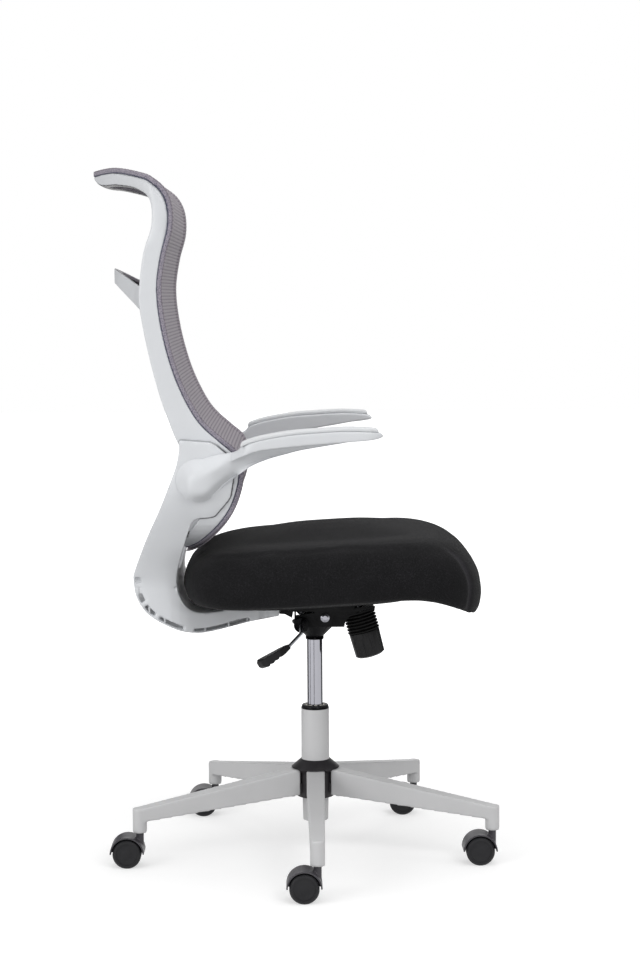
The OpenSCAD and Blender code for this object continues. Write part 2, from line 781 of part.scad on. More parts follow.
// Profile of the sleeve: ribs on the outside, a smooth wall inside
function sleeve_profile() =
    let (r = sleeve_d / 2, pitch = sleeve_l / sleeve_ribs)
    concat([for (k = [0 : sleeve_ribs - 1], s = [0 : 3])
        [s == 1 || s == 2 ? r : r - rib_h, pitch * (k + rib_shares[s])]],
        [[r - rib_h, sleeve_l], [r - rib_h - sleeve_wall, sleeve_l],
         [r - rib_h - sleeve_wall, 0]]);

module ribbed_sleeve() color("#1a1a1b") on_knob_axis()
    rotate_extrude($fn = round_fn) polygon(sleeve_profile());

// Spring: one tube wound on a helix, with rings of spring_sides points
spring_sides = 6;
spring_rings = 12;
spring_r = sleeve_d / 2 - rib_h - sleeve_wall - wire_d / 2 - over;
spring_l = sleeve_l - washer_t - wire_d - 2 * pass_gap;

function spring_point(t) =
    [spring_r * cos(360 * t), spring_r * sin(360 * t), wire_d / 2 + pass_gap
        + spring_l * t / spring_turns];

function spring_ring(t) = let (c = spring_point(t), a = 360 * t)
    [for (k = [0 : spring_sides - 1]) let (b = 360 * k / spring_sides)
        c + wire_d / 2 * [cos(b) * cos(a), cos(b) * sin(a), sin(b)]];

// Least gap between the spring's turns, measured on the points of its rings
function turn_gap() = min([for (i = [0 : spring_rings * (spring_turns - 1)],
    a = spring_ring(i / spring_rings), j = [-1 : 1],
    b = spring_ring((i + j) / spring_rings + 1)) norm(a - b)]);

module tube_of(rings, sides) {
    n = len(rings);
    points = [for (r = rings, p = r) p];
    faces = concat(
        [for (k = [1 : sides - 2]) [0, k + 1, k]],
        [for (k = [1 : sides - 2]) let (b = (n - 1) * sides) [b, b + k, b + k + 1]],
        [for (i = [0 : n - 2], k = [0 : sides - 1]) let (a = i * sides, k2 = (k + 1) % sides)
            [a + k, a + sides + k2, a + sides + k]],
        [for (i = [0 : n - 2], k = [0 : sides - 1]) let (a = i * sides, k2 = (k + 1) % sides)
            [a + k, a + k2, a + sides + k2]]);
    polyhedron(points, faces);
}

module tension_spring() color("#6f7276") on_knob_axis() {
    echo(least_gap_of_spring_turns = turn_gap());
    tube_of([for (i = [0 : spring_turns * spring_rings])
        spring_ring(i / spring_rings)], spring_sides);
}

// Seat

// Frame of the inclined seat: local Z = 0 is the seat plate's lower face
module seat_frame() translate([0, 0, seat_z]) rotate([0, -seat_rake, 0]) children();

plate_front = 112;
plate_back = plate_l - plate_front;
bracket_l = 20;
bracket_half_w = 55;
bracket_z = 439;
bracket_step = 2;
// Place of the support's front end
tongue_x = -62;
seat_screw_d = 6;
seat_screw_head_d = 12;
seat_screw_head_h = 4;
seat_screw_y = 66;
seat_screw_xs = [-52, 98];
support_screw_d = 8;
support_screw_head_d = 14;
support_screw_head_h = 6;
support_screw_y = 50;
support_screw_xs = [-80, -106];
// Boss of the tension bolt under the seat plate
boss_r = 9;
boss_l = 18;
boss_back = 8;

module seat_screw_places() for (x = seat_screw_xs, y = [-seat_screw_y, seat_screw_y])
    translate([x, y, 0]) children();

module support_screw_places() for (x = support_screw_xs, y = [-support_screw_y, support_screw_y])
    translate([x, y, 0]) children();

module ear_outline_prism(y0, y1) {
    difference() {
        union() {
            bar_y(pivot_x, pivot_z, ear_r, y0, y1);
            side_prism([[pivot_x - ear_r, pivot_z], [pivot_x + ear_r, pivot_z],
                [pivot_x + 2 * ear_r, seat_z + plate_t / 2], [pivot_x - 2 * ear_r,
                seat_z + plate_t / 4]], y0, y1);
        }
        bar_y(pivot_x, pivot_z, stud_d / 2 + run_gap, y0 - over, y1 + over);
    }
}

module seat_plate() color("#19191a") difference() {
    union() {
        seat_frame() translate([-plate_back, -plate_w / 2, 0]) cube([plate_l, plate_w, plate_t]);
        ear_outline_prism(-ear_y - ear_t, -ear_y);
        ear_outline_prism(ear_y, ear_y + ear_t);
        difference() {
            side_prism([[tongue_x + pass_gap, bracket_z],
                [tongue_x + bracket_l / 2, bracket_z], [tongue_x + bracket_l, bracket_z - bracket_step],
                [tongue_x + bracket_l, seat_z], [tongue_x + pass_gap, seat_z]],
                -bracket_half_w, bracket_half_w);
            seat_frame() translate([-far / 2, -far / 2, over]) cube([far, far, far]);
        }
        difference() {
            on_knob_axis() translate([0, 0, -bolt_top - boss_back])
                cylinder(r = boss_r, h = boss_l, $fn = round_fn);
            seat_frame() translate([-far / 2, -far / 2, over]) cube([far, far, far]);
        }
    }
    on_knob_axis() translate([0, 0, -bolt_top]) cylinder(d = bolt_d + 2 * run_gap, h = far / 2,
        $fn = round_fn);
    seat_frame() seat_screw_places() translate([0, 0, -over])
        cylinder(d = seat_screw_d + 2 * run_gap, h = plate_t + 2 * over, $fn = round_fn);
    seat_frame() support_screw_places() translate([0, 0, -over])
        cylinder(d = support_screw_d + 2 * run_gap, h = plate_t + 2 * over, $fn = round_fn);
}

// Cushion and pan share one rounded plan
seat_mid_x = 33;
pan_share = 0.6;
pan_mid_x = 20;
plan_points = 48;
seat_screw_bite = 9;

module seat_pan() color("#232324") seat_frame() difference() {
    translate([pan_mid_x, 0, plate_t]) linear_extrude(pan_t)
        polygon(rounded_plan(seat_l / 2 * pan_share, seat_w / 2 * pan_share, plan_points));
    seat_screw_places() translate([0, 0, plate_t - over])
        cylinder(d = seat_screw_d + 2 * run_gap, h = seat_screw_bite + over, $fn = round_fn);
    support_screw_places() translate([0, 0, plate_t - over])
        cylinder(d = support_screw_d + 2 * run_gap, h = seat_screw_bite + over, $fn = round_fn);
}

module seat_screws() color("#7b7d82") seat_frame() seat_screw_places() {
    translate([0, 0, -seat_screw_head_h])
        cylinder(d = seat_screw_head_d, h = seat_screw_head_h, $fn = round_fn);
    cylinder(d = seat_screw_d, h = plate_t + seat_screw_bite - pass_gap, $fn = round_fn);
}

// Rings of the cushion: share of the plan, height as a share of the thickness, and
// how much of the bend over the front and over the rear end the ring follows
cushion_ring_shares = [[0.62, 0, 0, 0], [0.8, 0, 1.6, 0], [0.88, 0.005, 2.1, 0],
    [0.94, 0.04, 2.2, 0], [0.98, 0.17, 1.8, 0], [1, 0.38, 1.5, 0], [0.99, 0.6, 1.3, 0.4],
    [0.96, 0.77, 1.25, 0.8], [0.91, 0.89, 1.25, 1], [0.84, 0.96, 1.2, 1], [0.75, 1, 1.1, 1],
    [0.6, 1.02, 1, 1]];
// Further rings of the crown: share of the plan, and share of the crown's rise
crown_ring_shares = [[0.45, 0.45], [0.3, 0.75], [0.15, 0.94]];
// Place where the waterfall front starts, as a share of the cushion's length
front_start_share = 0.23;
// Drop of the rear end as a share of the waterfall's
rear_drop_share = 0.35;

cushion_z = plate_t + pan_t + pass_gap;

function end_bend(x, front_weight, rear_weight) =
    let (reach = seat_l * (0.5 - front_start_share),
        f = max(x - seat_l * front_start_share, 0) / reach,
        b = max(-seat_l * front_start_share - x, 0) / reach)
    -front_drop * (front_weight * f * f + rear_weight * rear_drop_share * b * b);

function cushion_point(p, k, h, front_weight, rear_weight) = [seat_mid_x + p[0] * k, p[1] * k,
    cushion_z + h + end_bend(p[0] * k, front_weight, rear_weight)];

function cushion_rings() =
    let (plan = rounded_plan(seat_l / 2, seat_w / 2, plan_points))
    concat(
        [for (s = cushion_ring_shares)
            [for (p = plan) cushion_point(p, s[0], s[1] * seat_t, s[2], s[3])]],
        [for (s = crown_ring_shares) [for (p = plan)
            cushion_point(p, s[0], seat_t + s[1] * crown_h, 1, 1)]]);

module seat_cushion() color("#202021") seat_frame() {
    rings = cushion_rings();
    n = len(rings);
    m = plan_points;
    points = concat([for (r = rings, p = r) p],
        [[seat_mid_x, 0, cushion_z], [seat_mid_x, 0, cushion_z + seat_t + crown_h]]);
    low = n * m;
    faces = concat(
        [for (k = [0 : m - 1]) [low, k, (k + 1) % m]],
        [for (k = [0 : m - 1]) let (b = (n - 1) * m) [low + 1, b + (k + 1) % m, b + k]],
        [for (i = [0 : n - 2], k = [0 : m - 1]) let (a = i * m, k2 = (k + 1) % m)
            [a + k, a + m + k, a + m + k2]],
        [for (i = [0 : n - 2], k = [0 : m - 1]) let (a = i * m, k2 = (k + 1) % m)
            [a + k, a + m + k2, a + k2]]);
    polyhedron(points, faces);
}

// Back support

// Corner and size of the box that the support's side outline is drawn in; the
// first share runs backward from the front end, the second up from the lowest point
support_corner = [tongue_x, support_z];
support_size = [-support_reach, support_h];
// Rear line of the support, from the underside of its front end up to the back frame
support_rear_shares = [[0, 0.07], [0.21, 0.042], [0.49, 0.006], [0.63, 0.012], [0.74, 0.041],
    [0.845, 0.083], [0.925, 0.13], [0.984, 0.205], [1, 0.287], [0.988, 0.34], [0.895, 0.51],
    [0.804, 0.65], [0.734, 0.772], [0.68, 0.877], [0.66, 0.956], [0.661, 1]];
// Top edge and front edge of the side shell, down to its foot
shell_edge_shares = [[0.452, 0.988], [0.415, 0.974], [0.343, 0.93], [0.298, 0.86],
    [0.298, 0.819], [0.319, 0.725], [0.335, 0.705], [0.427, 0.626], [0.464, 0.62]];
// Front line of the leg, from the shell's foot down to the front end's top
support_front_shares = [[0.544, 0.614], [0.572, 0.603], [0.593, 0.579], [0.639, 0.481],
    [0.69, 0.357], [0.705, 0.304], [0.707, 0.257], [0.69, 0.2], [0.64, 0.14],
    [0.55, 0.108], [0.42, 0.108], [0.2, 0.128], [0, 0.14]];
// Half width of the support against its height, outside and inside
leg_outer_shares = [[0.6, -0.05], [0.61, 0.1], [0.65, 0.25], [0.71, 0.36], [0.81, 0.48],
    [0.9, 0.59], [0.96, 0.68], [0.99, 0.76], [0.998, 0.84], [0.9985, 1.05]];
leg_inner_shares = [[0.02, 0.305], [0.3, 0.315], [0.44, 0.345], [0.55, 0.41], [0.68, 0.5],
    [0.79, 0.61], [0.87, 0.74]];
// Half width of the lower part against the reach
foot_plan_shares = [[-0.02, 0.36], [0.2, 0.36], [0.5, 0.5], [0.75, 0.63], [1.02, 0.65]];
// Height where the lower part ends
foot_split_share = 0.25;
// Heights between which the shell's inner face is flush with the back frame
shell_step_share = 0.84;
shell_top_share = 1.1;

split_z = support_z + support_h * foot_split_share;
rear_line = smooth(placed(support_rear_shares, support_corner, support_size));
front_line = smooth(placed(support_front_shares, support_corner, support_size));
support_outline = concat(rear_line,
    placed(shell_edge_shares, support_corner, support_size), front_line);

function half_width_line(shares) = [for (p = smooth([for (s = shares)
    [s[0] * support_half_w, support_z + s[1] * support_h]])) p];

outer_line = half_width_line(leg_outer_shares);
inner_line = concat(half_width_line(leg_inner_shares),
    [[frame_half_w, support_z + support_h * shell_step_share],
     [frame_half_w, support_z + support_h * shell_top_share]]);

module mirrored_front_prism(line, x0, x1)
    front_prism(concat(line, reversed([for (p = line) [-p[0], p[1]]])), x0, x1);

foot_plan = smooth([for (s = foot_plan_shares)
    [support_corner[0] - s[0] * support_reach, s[1] * support_half_w]]);

// Pockets between ribs along the lower edge: start and end as shares of the line
pocket_shares = [[0.07, 0.19], [0.21, 0.33], [0.35, 0.41], [0.43, 0.5], [0.52, 0.56]];
pocket_lip = 2.5;
pocket_low_share = 0.35;

function pocket_outline(s) =
    let (n = len(rear_line) - 1, i0 = round(s[0] * n), i1 = round(s[1] * n),
        low = beside(rear_line, -pocket_lip),
        depth = pocket_depth * (1 + 2 * s[0]),
        high = beside(rear_line, -pocket_lip - depth))
    concat([for (i = [i0 : i1]) low[i]], [for (i = [i1 : -1 : i0]) high[i]]);

module support_solid() {
    intersection() {
        side_prism(support_outline, -far, far);
        plan_prism(both_sides(foot_plan), 0, split_z);
    }
    intersection() {
        side_prism(support_outline, -far, far);
        difference() {
            mirrored_front_prism(outer_line, -far, far);
            mirrored_front_prism(inner_line, -far, far);
        }
        translate([-far, -far, split_z]) cube([2 * far, 2 * far, far]);
    }
    bar_y(root_x, root_z, root_r, -support_half_w, -frame_half_w);
    bar_y(root_x, root_z, root_r, frame_half_w, support_half_w);
}

module side_pockets() difference() {
    union() for (s = pocket_shares)
        side_prism(pocket_outline(s), -support_half_w, support_half_w);
    plan_prism(both_sides([for (p = foot_plan) [p[0], p[1] - pocket_depth]]), 0, far);
}

module back_support() color("#d3d6d8") difference() {
    support_solid();
    seat_frame() translate([-plate_back - pass_gap, -far / 2, 0]) cube([plate_l, far, bracket_l]);
    seat_frame() translate([pan_mid_x - seat_l / 2 * pan_share - over, -far / 2,
        plate_t - pass_gap]) cube([plate_l, far, bracket_l]);
    side_pockets();
    frame_room();
    seat_frame() support_screw_places() {
        translate([0, 0, -far / 2])
            cylinder(d = support_screw_d + 2 * run_gap, h = far, $fn = round_fn);
        translate([0, 0, -far - support_screw_seat])
            cylinder(d = support_screw_head_d + 2 * pass_gap, h = far, $fn = round_fn);
    }
    arm_pin_bore();
    left_side() arm_pin_bore();
    frame_screw_bores();
    left_side() frame_screw_bores();
}

// Room that the back frame takes in the support
module frame_room() masked(-pass_gap) side_prism(
    concat(beside(frame_front, -over), reversed(beside(frame_rear, pass_gap))), -far, far);

// Depth of the screw heads below the seat plate
support_screw_seat = 9;

module support_screws() color("#7b7d82") seat_frame() support_screw_places() {
    translate([0, 0, -support_screw_seat])
        cylinder(d = support_screw_d, h = support_screw_seat + plate_t + seat_screw_bite
            - pass_gap, $fn = round_fn);
    translate([0, 0, -support_screw_seat - support_screw_head_h])
        cylinder(d = support_screw_head_d, h = support_screw_head_h, $fn = round_fn);
}

// Back frame, mesh and band

back_corner = [-126, back_z];
back_size = [-back_depth, back_h];
// Front line of the frame from its lower end up to the head's rear end; the
// first share runs backward from the lumbar curve
frame_front_shares = [[0.392, 0.013], [0.33, 0.024], [0.235, 0.054], [0.116, 0.105],
    [0.043, 0.157], [0.006, 0.22], [0.035, 0.27], [0.125, 0.303], [0.255, 0.35],
    [0.35, 0.41], [0.435, 0.49], [0.502, 0.593], [0.53, 0.694], [0.502, 0.78],
    [0.455, 0.85], [0.456, 0.905], [0.495, 0.942], [0.56, 0.965], [0.627, 0.978],
    [0.82, 0.997], [1, 0.996]];
// Rear line of the frame, from its lower end up to the head's rear end
frame_rear_shares = [[0.42, 0.04], [0.37, 0.058], [0.3, 0.09], [0.235, 0.13], [0.19, 0.175],
    [0.19, 0.215], [0.25, 0.255], [0.36, 0.28], [0.405, 0.305], [0.45, 0.347],
    [0.525, 0.435], [0.592, 0.54], [0.64, 0.645], [0.641, 0.705], [0.61, 0.79],
    [0.561, 0.85], [0.555, 0.9], [0.58, 0.93], [0.64, 0.947], [0.705, 0.957],
    [0.83, 0.966], [0.905, 0.967], [0.96, 0.974], [1, 0.992]];
// Start of the head's rounding, its power, and the same for the lower end
head_round_x_share = 0.555;
head_power_share = 1.2;
// Height where the head starts, below which the rails keep their width
head_split_share = 0.868;
low_round_z_share = 0.133;
low_power_share = 2;
// How much of an inset lifts the lower end
low_inset_share = 0.6;

frame_front = smooth(placed(frame_front_shares, back_corner, back_size));
frame_rear = smooth(placed(frame_rear_shares, back_corner, back_size));
band_front = beside(frame_front, -band_t);
mesh_rear = beside(frame_front, -band_t / 3);
mesh_front = beside(frame_front, -band_t / 3 - mesh_t);

// Quarter of a high-order ellipse that narrows a width to nothing
function closing(u, power) = pow(max(1 - pow(min(max(u, 0), 1), power), 0), 1 / power);

mask_steps = 14;
head_x0 = back_corner[0] - back_depth * head_round_x_share;
head_reach = back_corner[0] - back_depth - head_x0;
low_z0 = back_z + back_h * low_round_z_share;
head_split_z = back_z + back_h * head_split_share;

// Plan outline that rounds the head's rear end, drawn in by inset
module head_mask(inset) {
    w = frame_half_w - inset;
    reach = abs(head_reach) + band_t / 2 - inset;
    plan_prism(both_sides(concat([[0, w]],
        [for (k = [0 : mask_steps]) let (u = sin(90 * k / mask_steps))
            [head_x0 - reach * u, w * closing(u, head_power_share)]])), 0, 2 * far);
    translate([-far, -w, 0]) cube([far, 2 * w, head_split_z]);
}

// Front outline that rounds the lower end, drawn in by inset
module low_mask(inset) {
    w = frame_half_w - inset;
    drop = low_z0 - back_z - inset * low_inset_share;
    line = concat([for (k = [mask_steps : -1 : 0]) let (u = sin(90 * k / mask_steps))
        [w * closing(u, low_power_share), low_z0 - drop * u]], [[w, 2 * far]]);
    mirrored_front_prism(line, -far, far);
}

module masked(inset) intersection() {
    children();
    head_mask(inset);
    low_mask(inset);
}

module back_frame() color("#d6d9db") difference() {
    masked(0) side_prism(concat(frame_front, reversed(frame_rear)), -far, far);
    masked(rail_w) side_prism(concat(beside(frame_front, -over), reversed(beside(frame_rear, over))),
        -far, far);
    frame_screw_bores();
    left_side() frame_screw_bores();
}

module mesh_band() color("#5f5d70") difference() {
    masked(0) side_prism(concat(band_front, reversed(frame_front)), -far, far);
    masked(band_w) side_prism(concat(beside(band_front, -over), reversed(beside(frame_front, over))),
        -far, far);
}

module back_mesh() color("#8b848a")
    masked(band_w) side_prism(concat(mesh_front, reversed(mesh_rear)), -far, far);

// Screws that hold the back frame in the side shells
frame_screw_d = 6;
frame_screw_head_d = 12;
frame_screw_head_h = 3;
frame_screw_bite = 11;
frame_screw_l = rail_w + frame_screw_bite;
// Places of the screws as shares of the back's depth and height
frame_screw_shares = [[0.2, 0.283], [0.1, 0.16]];

module frame_screw_places() for (p = placed(frame_screw_shares, back_corner, back_size))
    translate([p[0], -frame_half_w + rail_w, p[1]]) rotate([90, 0, 0]) children();

module frame_screw_bores() frame_screw_places() translate([0, 0, -over])
    cylinder(d = frame_screw_d + 2 * run_gap, h = frame_screw_l + over, $fn = round_fn);

module frame_screw_set() frame_screw_places() {
    translate([0, 0, -frame_screw_head_h])
        cylinder(d = frame_screw_head_d, h = frame_screw_head_h, $fn = round_fn);
    cylinder(d = frame_screw_d, h = frame_screw_l - pass_gap, $fn = round_fn);
}

module frame_screws() color("#7b7d82") {
    frame_screw_set();
    left_side() frame_screw_set();
}

// Coat hanger

// Outer line of the hanger in plan: share of its half width, share of its reach
hanger_plan_shares = [[0, 1], [0.14, 0.97], [0.3, 0.84], [0.55, 0.53], [0.8, 0.2], [1, 0]];
hanger_half_w = frame_half_w - rail_w / 3;
// Height of the rails' rear point, where the hanger starts
hanger_root_share = 0.672;
hanger_root_depth_share = 0.641;
hanger_root_x = back_corner[0] - back_depth * hanger_root_depth_share;
hanger_root_z = back_z + back_h * hanger_root_share;
hanger_root_h = 39;
hanger_rise = 47;
hanger_tip_h = 26;
facing_inset = 5;
// Bend of the hanger's underside, as shares of its reach and rise
hanger_knee_share = 0.9;
hanger_knee_rise_share = 0.93;

hanger_outer = smooth([for (s = hanger_plan_shares)
    [hanger_root_x - s[1] * hanger_reach, s[0] * hanger_half_w]]);

// Plan outline of a layer of the hanger, between two depths behind its outer line
function hanger_layer(d0, d1) =
    let (a = [for (p = hanger_outer) [p[0] + d0, p[1]]], b = [for (p = hanger_outer) [p[0] + d1, p[1]]])
    concat(reversed(a), [for (i = [1 : len(a) - 1]) [a[i][0], -a[i][1]]],
        [for (i = [len(b) - 1 : -1 : 1]) [b[i][0], -b[i][1]]], b);

// Side outline of the hanger, drawn in by inset at its top and bottom
function hanger_side(inset) = [
    [hanger_root_x + hanger_t * 2, hanger_root_z - hanger_root_h / 2 + inset],
    [hanger_root_x, hanger_root_z - hanger_root_h / 2 + inset],
    [hanger_root_x - hanger_reach * hanger_knee_share,
        hanger_root_z - hanger_root_h / 2 + hanger_rise * hanger_knee_rise_share + inset],
    [hanger_root_x - hanger_reach, hanger_root_z - hanger_root_h / 2 + hanger_rise + inset],
    [hanger_root_x - hanger_reach, hanger_root_z - hanger_root_h / 2 + hanger_rise
        + hanger_tip_h - inset],
    [hanger_root_x, hanger_root_z + hanger_root_h / 2 - inset],
    [hanger_root_x + hanger_t * 2, hanger_root_z + hanger_root_h / 2 - inset]];

// Space that the back frame fills, so the hanger ends on its rails
module frame_space() side_prism(concat(frame_front, reversed(frame_rear)), -far, far);

module coat_hanger() color("#d3d6d8") difference() {
    intersection() {
        plan_prism(hanger_layer(0, hanger_t), 0, 2 * far);
        side_prism(hanger_side(0), -far, far);
    }
    frame_space();
}

module hanger_facing() color("#45454a") difference() {
    intersection() {
        plan_prism(hanger_layer(hanger_t, hanger_t + facing_t), 0, 2 * far);
        side_prism(hanger_side(facing_inset), -far, far);
    }
    frame_space();
}

// Arms

arm_gap = pass_gap;
arm_inner_y = support_half_w + arm_gap;
// Centre of the arm's root, as shares of the back's depth and height
root_depth_share = 0.27;
root_height_share = 0.21;
root_x = back_corner[0] - back_depth * root_depth_share;
root_z = back_z + back_h * root_height_share;
arm_corner = [root_x, root_z];
arm_size = [arm_l, arm_h];
// Mid line of an arm pad
pad_reach = 28;
pad_y = arm_inner_y + pad_reach;
// Lower line of an arm, from under its root to the tip
arm_low_shares = [[0, -0.37], [0.075, -0.28], [0.18, 0], [0.265, 0.215], [0.315, 0.312],
    [0.39, 0.41], [0.47, 0.485], [0.55, 0.555], [0.66, 0.62], [0.77, 0.68], [0.875, 0.742],
    [0.975, 0.785], [1, 0.82]];
// Top line of an arm below its pad, from the root to the tip
arm_top_shares = [[0, 0.37], [0.1, 0.47], [0.19, 0.52], [0.225, 0.58], [0.25, 0.665],
    [0.34, 0.765], [0.5, 0.86], [0.65, 0.9], [0.8, 0.925], [0.93, 0.91], [0.98, 0.88],
    [1, 0.83]];
// Line between the wide tray and the web below it
tray_low_shares = [[0.184, 0.37], [0.235, 0.455], [0.29, 0.53], [0.34, 0.58], [0.395, 0.607],
    [0.55, 0.66], [0.77, 0.717], [0.92, 0.755], [0.975, 0.785], [1, 0.82]];
// Plan of the tray: share of the arm's length, share of the pad's half width
tray_plan_shares = [[0.16, 0.2], [0.2, 0.62], [0.26, 0.92], [0.4, 1], [0.85, 1], [0.95, 0.86],
    [0.99, 0.55], [1, 0.2]];
// Start and end of the pad, as shares of the arm's length
pad_start_share = 0.235;
pad_end_share = 0.975;

arm_low = smooth(placed(arm_low_shares, arm_corner, arm_size));
arm_top = smooth(placed(arm_top_shares, arm_corner, arm_size));
tray_low = smooth(placed(tray_low_shares, arm_corner, arm_size));
tray_half = smooth([for (s = tray_plan_shares) [root_x + s[0] * arm_l, s[1] * pad_half_w]]);

module tray_plan_prism(inset) translate([0, -pad_y, 0])
    plan_prism(both_sides([for (p = tray_half) [p[0], max(p[1] - inset, over)]]), 0, 2 * far);

// Arm of the right side: a round root, a web, and a wide tray under the pad
module arm_body() difference() {
    union() {
        bar_y(root_x, root_z, root_r, -arm_inner_y - web_w, -arm_inner_y);
        side_prism(concat(arm_low, reversed(arm_top)), -arm_inner_y - web_w, -arm_inner_y);
        intersection() {
            side_prism(concat(tray_low, reversed([for (p = arm_top)
                if (p[0] > tray_low[0][0]) p])), -far, far);
            tray_plan_prism(0);
        }
    }
    bar_y(root_x, root_z, arm_pin_d / 2 + run_gap, -arm_inner_y - web_w + arm_cap, 0);
}

// Wall left over the pin's end on the outside of an arm
arm_cap = 4;

module pad_body() {
    x0 = root_x + arm_l * pad_start_share;
    x1 = root_x + arm_l * pad_end_share;
    line = [for (p = arm_top) if (p[0] > x0 && p[0] < x1) p];
    top = beside(line, pad_t);
    intersection() {
        side_prism(concat(line, reversed([for (i = [0 : len(top) - 1])
            i == 0 || i == len(top) - 1 ? line[i] + (top[i] - line[i]) / 2 : top[i]])), -far, far);
        tray_plan_prism(over);
    }
}

module arm_pin_bore() {
    bar_y(root_x, root_z, arm_pin_d / 2 + run_gap, -support_half_w - over, -frame_half_w + over);
    bar_y(root_x, root_z, pin_flange_d / 2 + pass_gap, -frame_half_w, -frame_half_w + rail_w);
}

pin_flange_t = 4;
pin_flange_rim = 6;
pin_flange_d = arm_pin_d + 2 * pin_flange_rim;

module arm_pin() {
    bar_y(root_x, root_z, arm_pin_d / 2, -arm_inner_y - web_w + arm_cap + over, -frame_half_w);
    bar_y(root_x, root_z, pin_flange_d / 2, -frame_half_w, -frame_half_w + pin_flange_t);
}

module arm_right() color("#d6d9db") arm_body();
module arm_left() color("#d6d9db") left_side() arm_body();
module arm_pad_right() color("#dadcde") pad_body();
module arm_pad_left() color("#dadcde") left_side() pad_body();
module arm_pins() color("#9a9ca1") {
    arm_pin();
    left_side() arm_pin();
}

// Assembly

hub();
star_legs();
leg_screws();
column_tube();
column_collar();
guide_bush();
thrust_bearing();
rod_clip();
piston_rod();
gas_cylinder();
release_pin();
mech_housing();
pivot_studs();
lever_rod();
lever_paddle();
tension_bolt();
tension_spring();
ribbed_sleeve();
thrust_washer();
tension_knob();
seat_plate();
seat_pan();
seat_cushion();
seat_screws();
back_support();
support_screws();
back_frame();
back_mesh();
mesh_band();
frame_screws();
coat_hanger();
hanger_facing();
arm_right();
arm_left();
arm_pad_right();
arm_pad_left();
arm_pins();
caster_hood(0);  // caster_hood_1
caster_hood(1);  // caster_hood_2
caster_hood(2);  // caster_hood_3
caster_hood(3);  // caster_hood_4
caster_hood(4);  // caster_hood_5
caster_stem(0);  // caster_stem_1
caster_stem(1);  // caster_stem_2
caster_stem(2);  // caster_stem_3
caster_stem(3);  // caster_stem_4
caster_stem(4);  // caster_stem_5
wheel_right(0);  // wheel_right_1
wheel_right(1);  // wheel_right_2
wheel_right(2);  // wheel_right_3
wheel_right(3);  // wheel_right_4
wheel_right(4);  // wheel_right_5
wheel_left(0);  // wheel_left_1
wheel_left(1);  // wheel_left_2
wheel_left(2);  // wheel_left_3
wheel_left(3);  // wheel_left_4
wheel_left(4);  // wheel_left_5
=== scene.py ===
"""Office chair dressed over its CAD frame: soft parts, moulded shells, materials and studio.

Meshes are in metres and in the CAD frame: X forward, Y to the chair's left, Z up, with the
origin on the floor under the gas lift. Named sizes say whether they are in mm or in metres.
"""
import logging
import math
from contextlib import contextmanager
from dataclasses import dataclass
from enum import Enum
from typing import Iterator, Sequence

import bmesh
import bpy
import numpy as np
from mathutils import Matrix, Vector, kdtree


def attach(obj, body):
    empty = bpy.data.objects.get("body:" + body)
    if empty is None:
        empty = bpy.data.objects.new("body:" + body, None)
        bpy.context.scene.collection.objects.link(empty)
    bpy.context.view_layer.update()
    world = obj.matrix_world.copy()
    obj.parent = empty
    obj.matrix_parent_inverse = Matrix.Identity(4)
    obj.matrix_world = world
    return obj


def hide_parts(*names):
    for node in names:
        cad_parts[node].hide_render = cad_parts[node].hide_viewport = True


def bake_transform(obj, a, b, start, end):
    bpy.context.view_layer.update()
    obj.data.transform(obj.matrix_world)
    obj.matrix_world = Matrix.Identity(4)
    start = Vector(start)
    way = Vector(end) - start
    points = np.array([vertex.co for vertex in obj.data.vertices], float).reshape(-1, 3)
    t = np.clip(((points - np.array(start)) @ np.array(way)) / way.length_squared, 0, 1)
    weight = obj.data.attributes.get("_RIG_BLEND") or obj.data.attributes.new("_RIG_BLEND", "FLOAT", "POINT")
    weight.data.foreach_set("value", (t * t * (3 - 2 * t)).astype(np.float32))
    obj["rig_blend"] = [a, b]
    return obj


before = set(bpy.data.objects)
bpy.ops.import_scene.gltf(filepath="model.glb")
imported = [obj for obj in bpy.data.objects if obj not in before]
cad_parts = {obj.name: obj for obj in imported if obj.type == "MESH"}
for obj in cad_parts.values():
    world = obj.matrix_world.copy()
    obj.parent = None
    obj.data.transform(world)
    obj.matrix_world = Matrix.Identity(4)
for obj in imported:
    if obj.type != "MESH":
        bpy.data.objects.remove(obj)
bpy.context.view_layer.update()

LOG = logging.getLogger("office_chair")
MM = 0.001
# Points closer than the first are merged, and no distance in the scene is as long as the second
MERGE = 0.01 * MM
FAR_AWAY = 1e9

Span = tuple[float, float]
Line = tuple[tuple[float, float], ...]

# Sizes shared with the CAD, in mm and as shares

BACK_CORNER = (-126.0, 553.0)
BACK_DEPTH = 255.0
BACK_HEIGHT = 653.0
FRAME_HALF_W = 215.0
BAND_W = 30.0
HEAD_ROUND_X = 0.555
HEAD_POWER = 1.2
HEAD_SPLIT = 0.868
LOW_ROUND_Z = 0.133
LOW_POWER = 2.0
LOW_INSET = 0.6
FRONT_SHARES = (
    (0.392, 0.013), (0.33, 0.024), (0.235, 0.054), (0.116, 0.105), (0.043, 0.157),
    (0.006, 0.22), (0.035, 0.27), (0.125, 0.303), (0.255, 0.35), (0.35, 0.41),
    (0.435, 0.49), (0.502, 0.593), (0.53, 0.694), (0.502, 0.78), (0.455, 0.85),
    (0.456, 0.905), (0.495, 0.942), (0.56, 0.965), (0.627, 0.978), (0.82, 0.997), (1, 0.996),
)
ARM_ROOT = (-194.85, 690.13)
KNOB_SEAT = (77.8, 436.6)
KNOB_LEAN = math.radians(15.0)
KNOB_UP = (-math.sin(KNOB_LEAN), 0.0, math.cos(KNOB_LEAN))
CASTERS = (1, 2, 3, 4, 5)


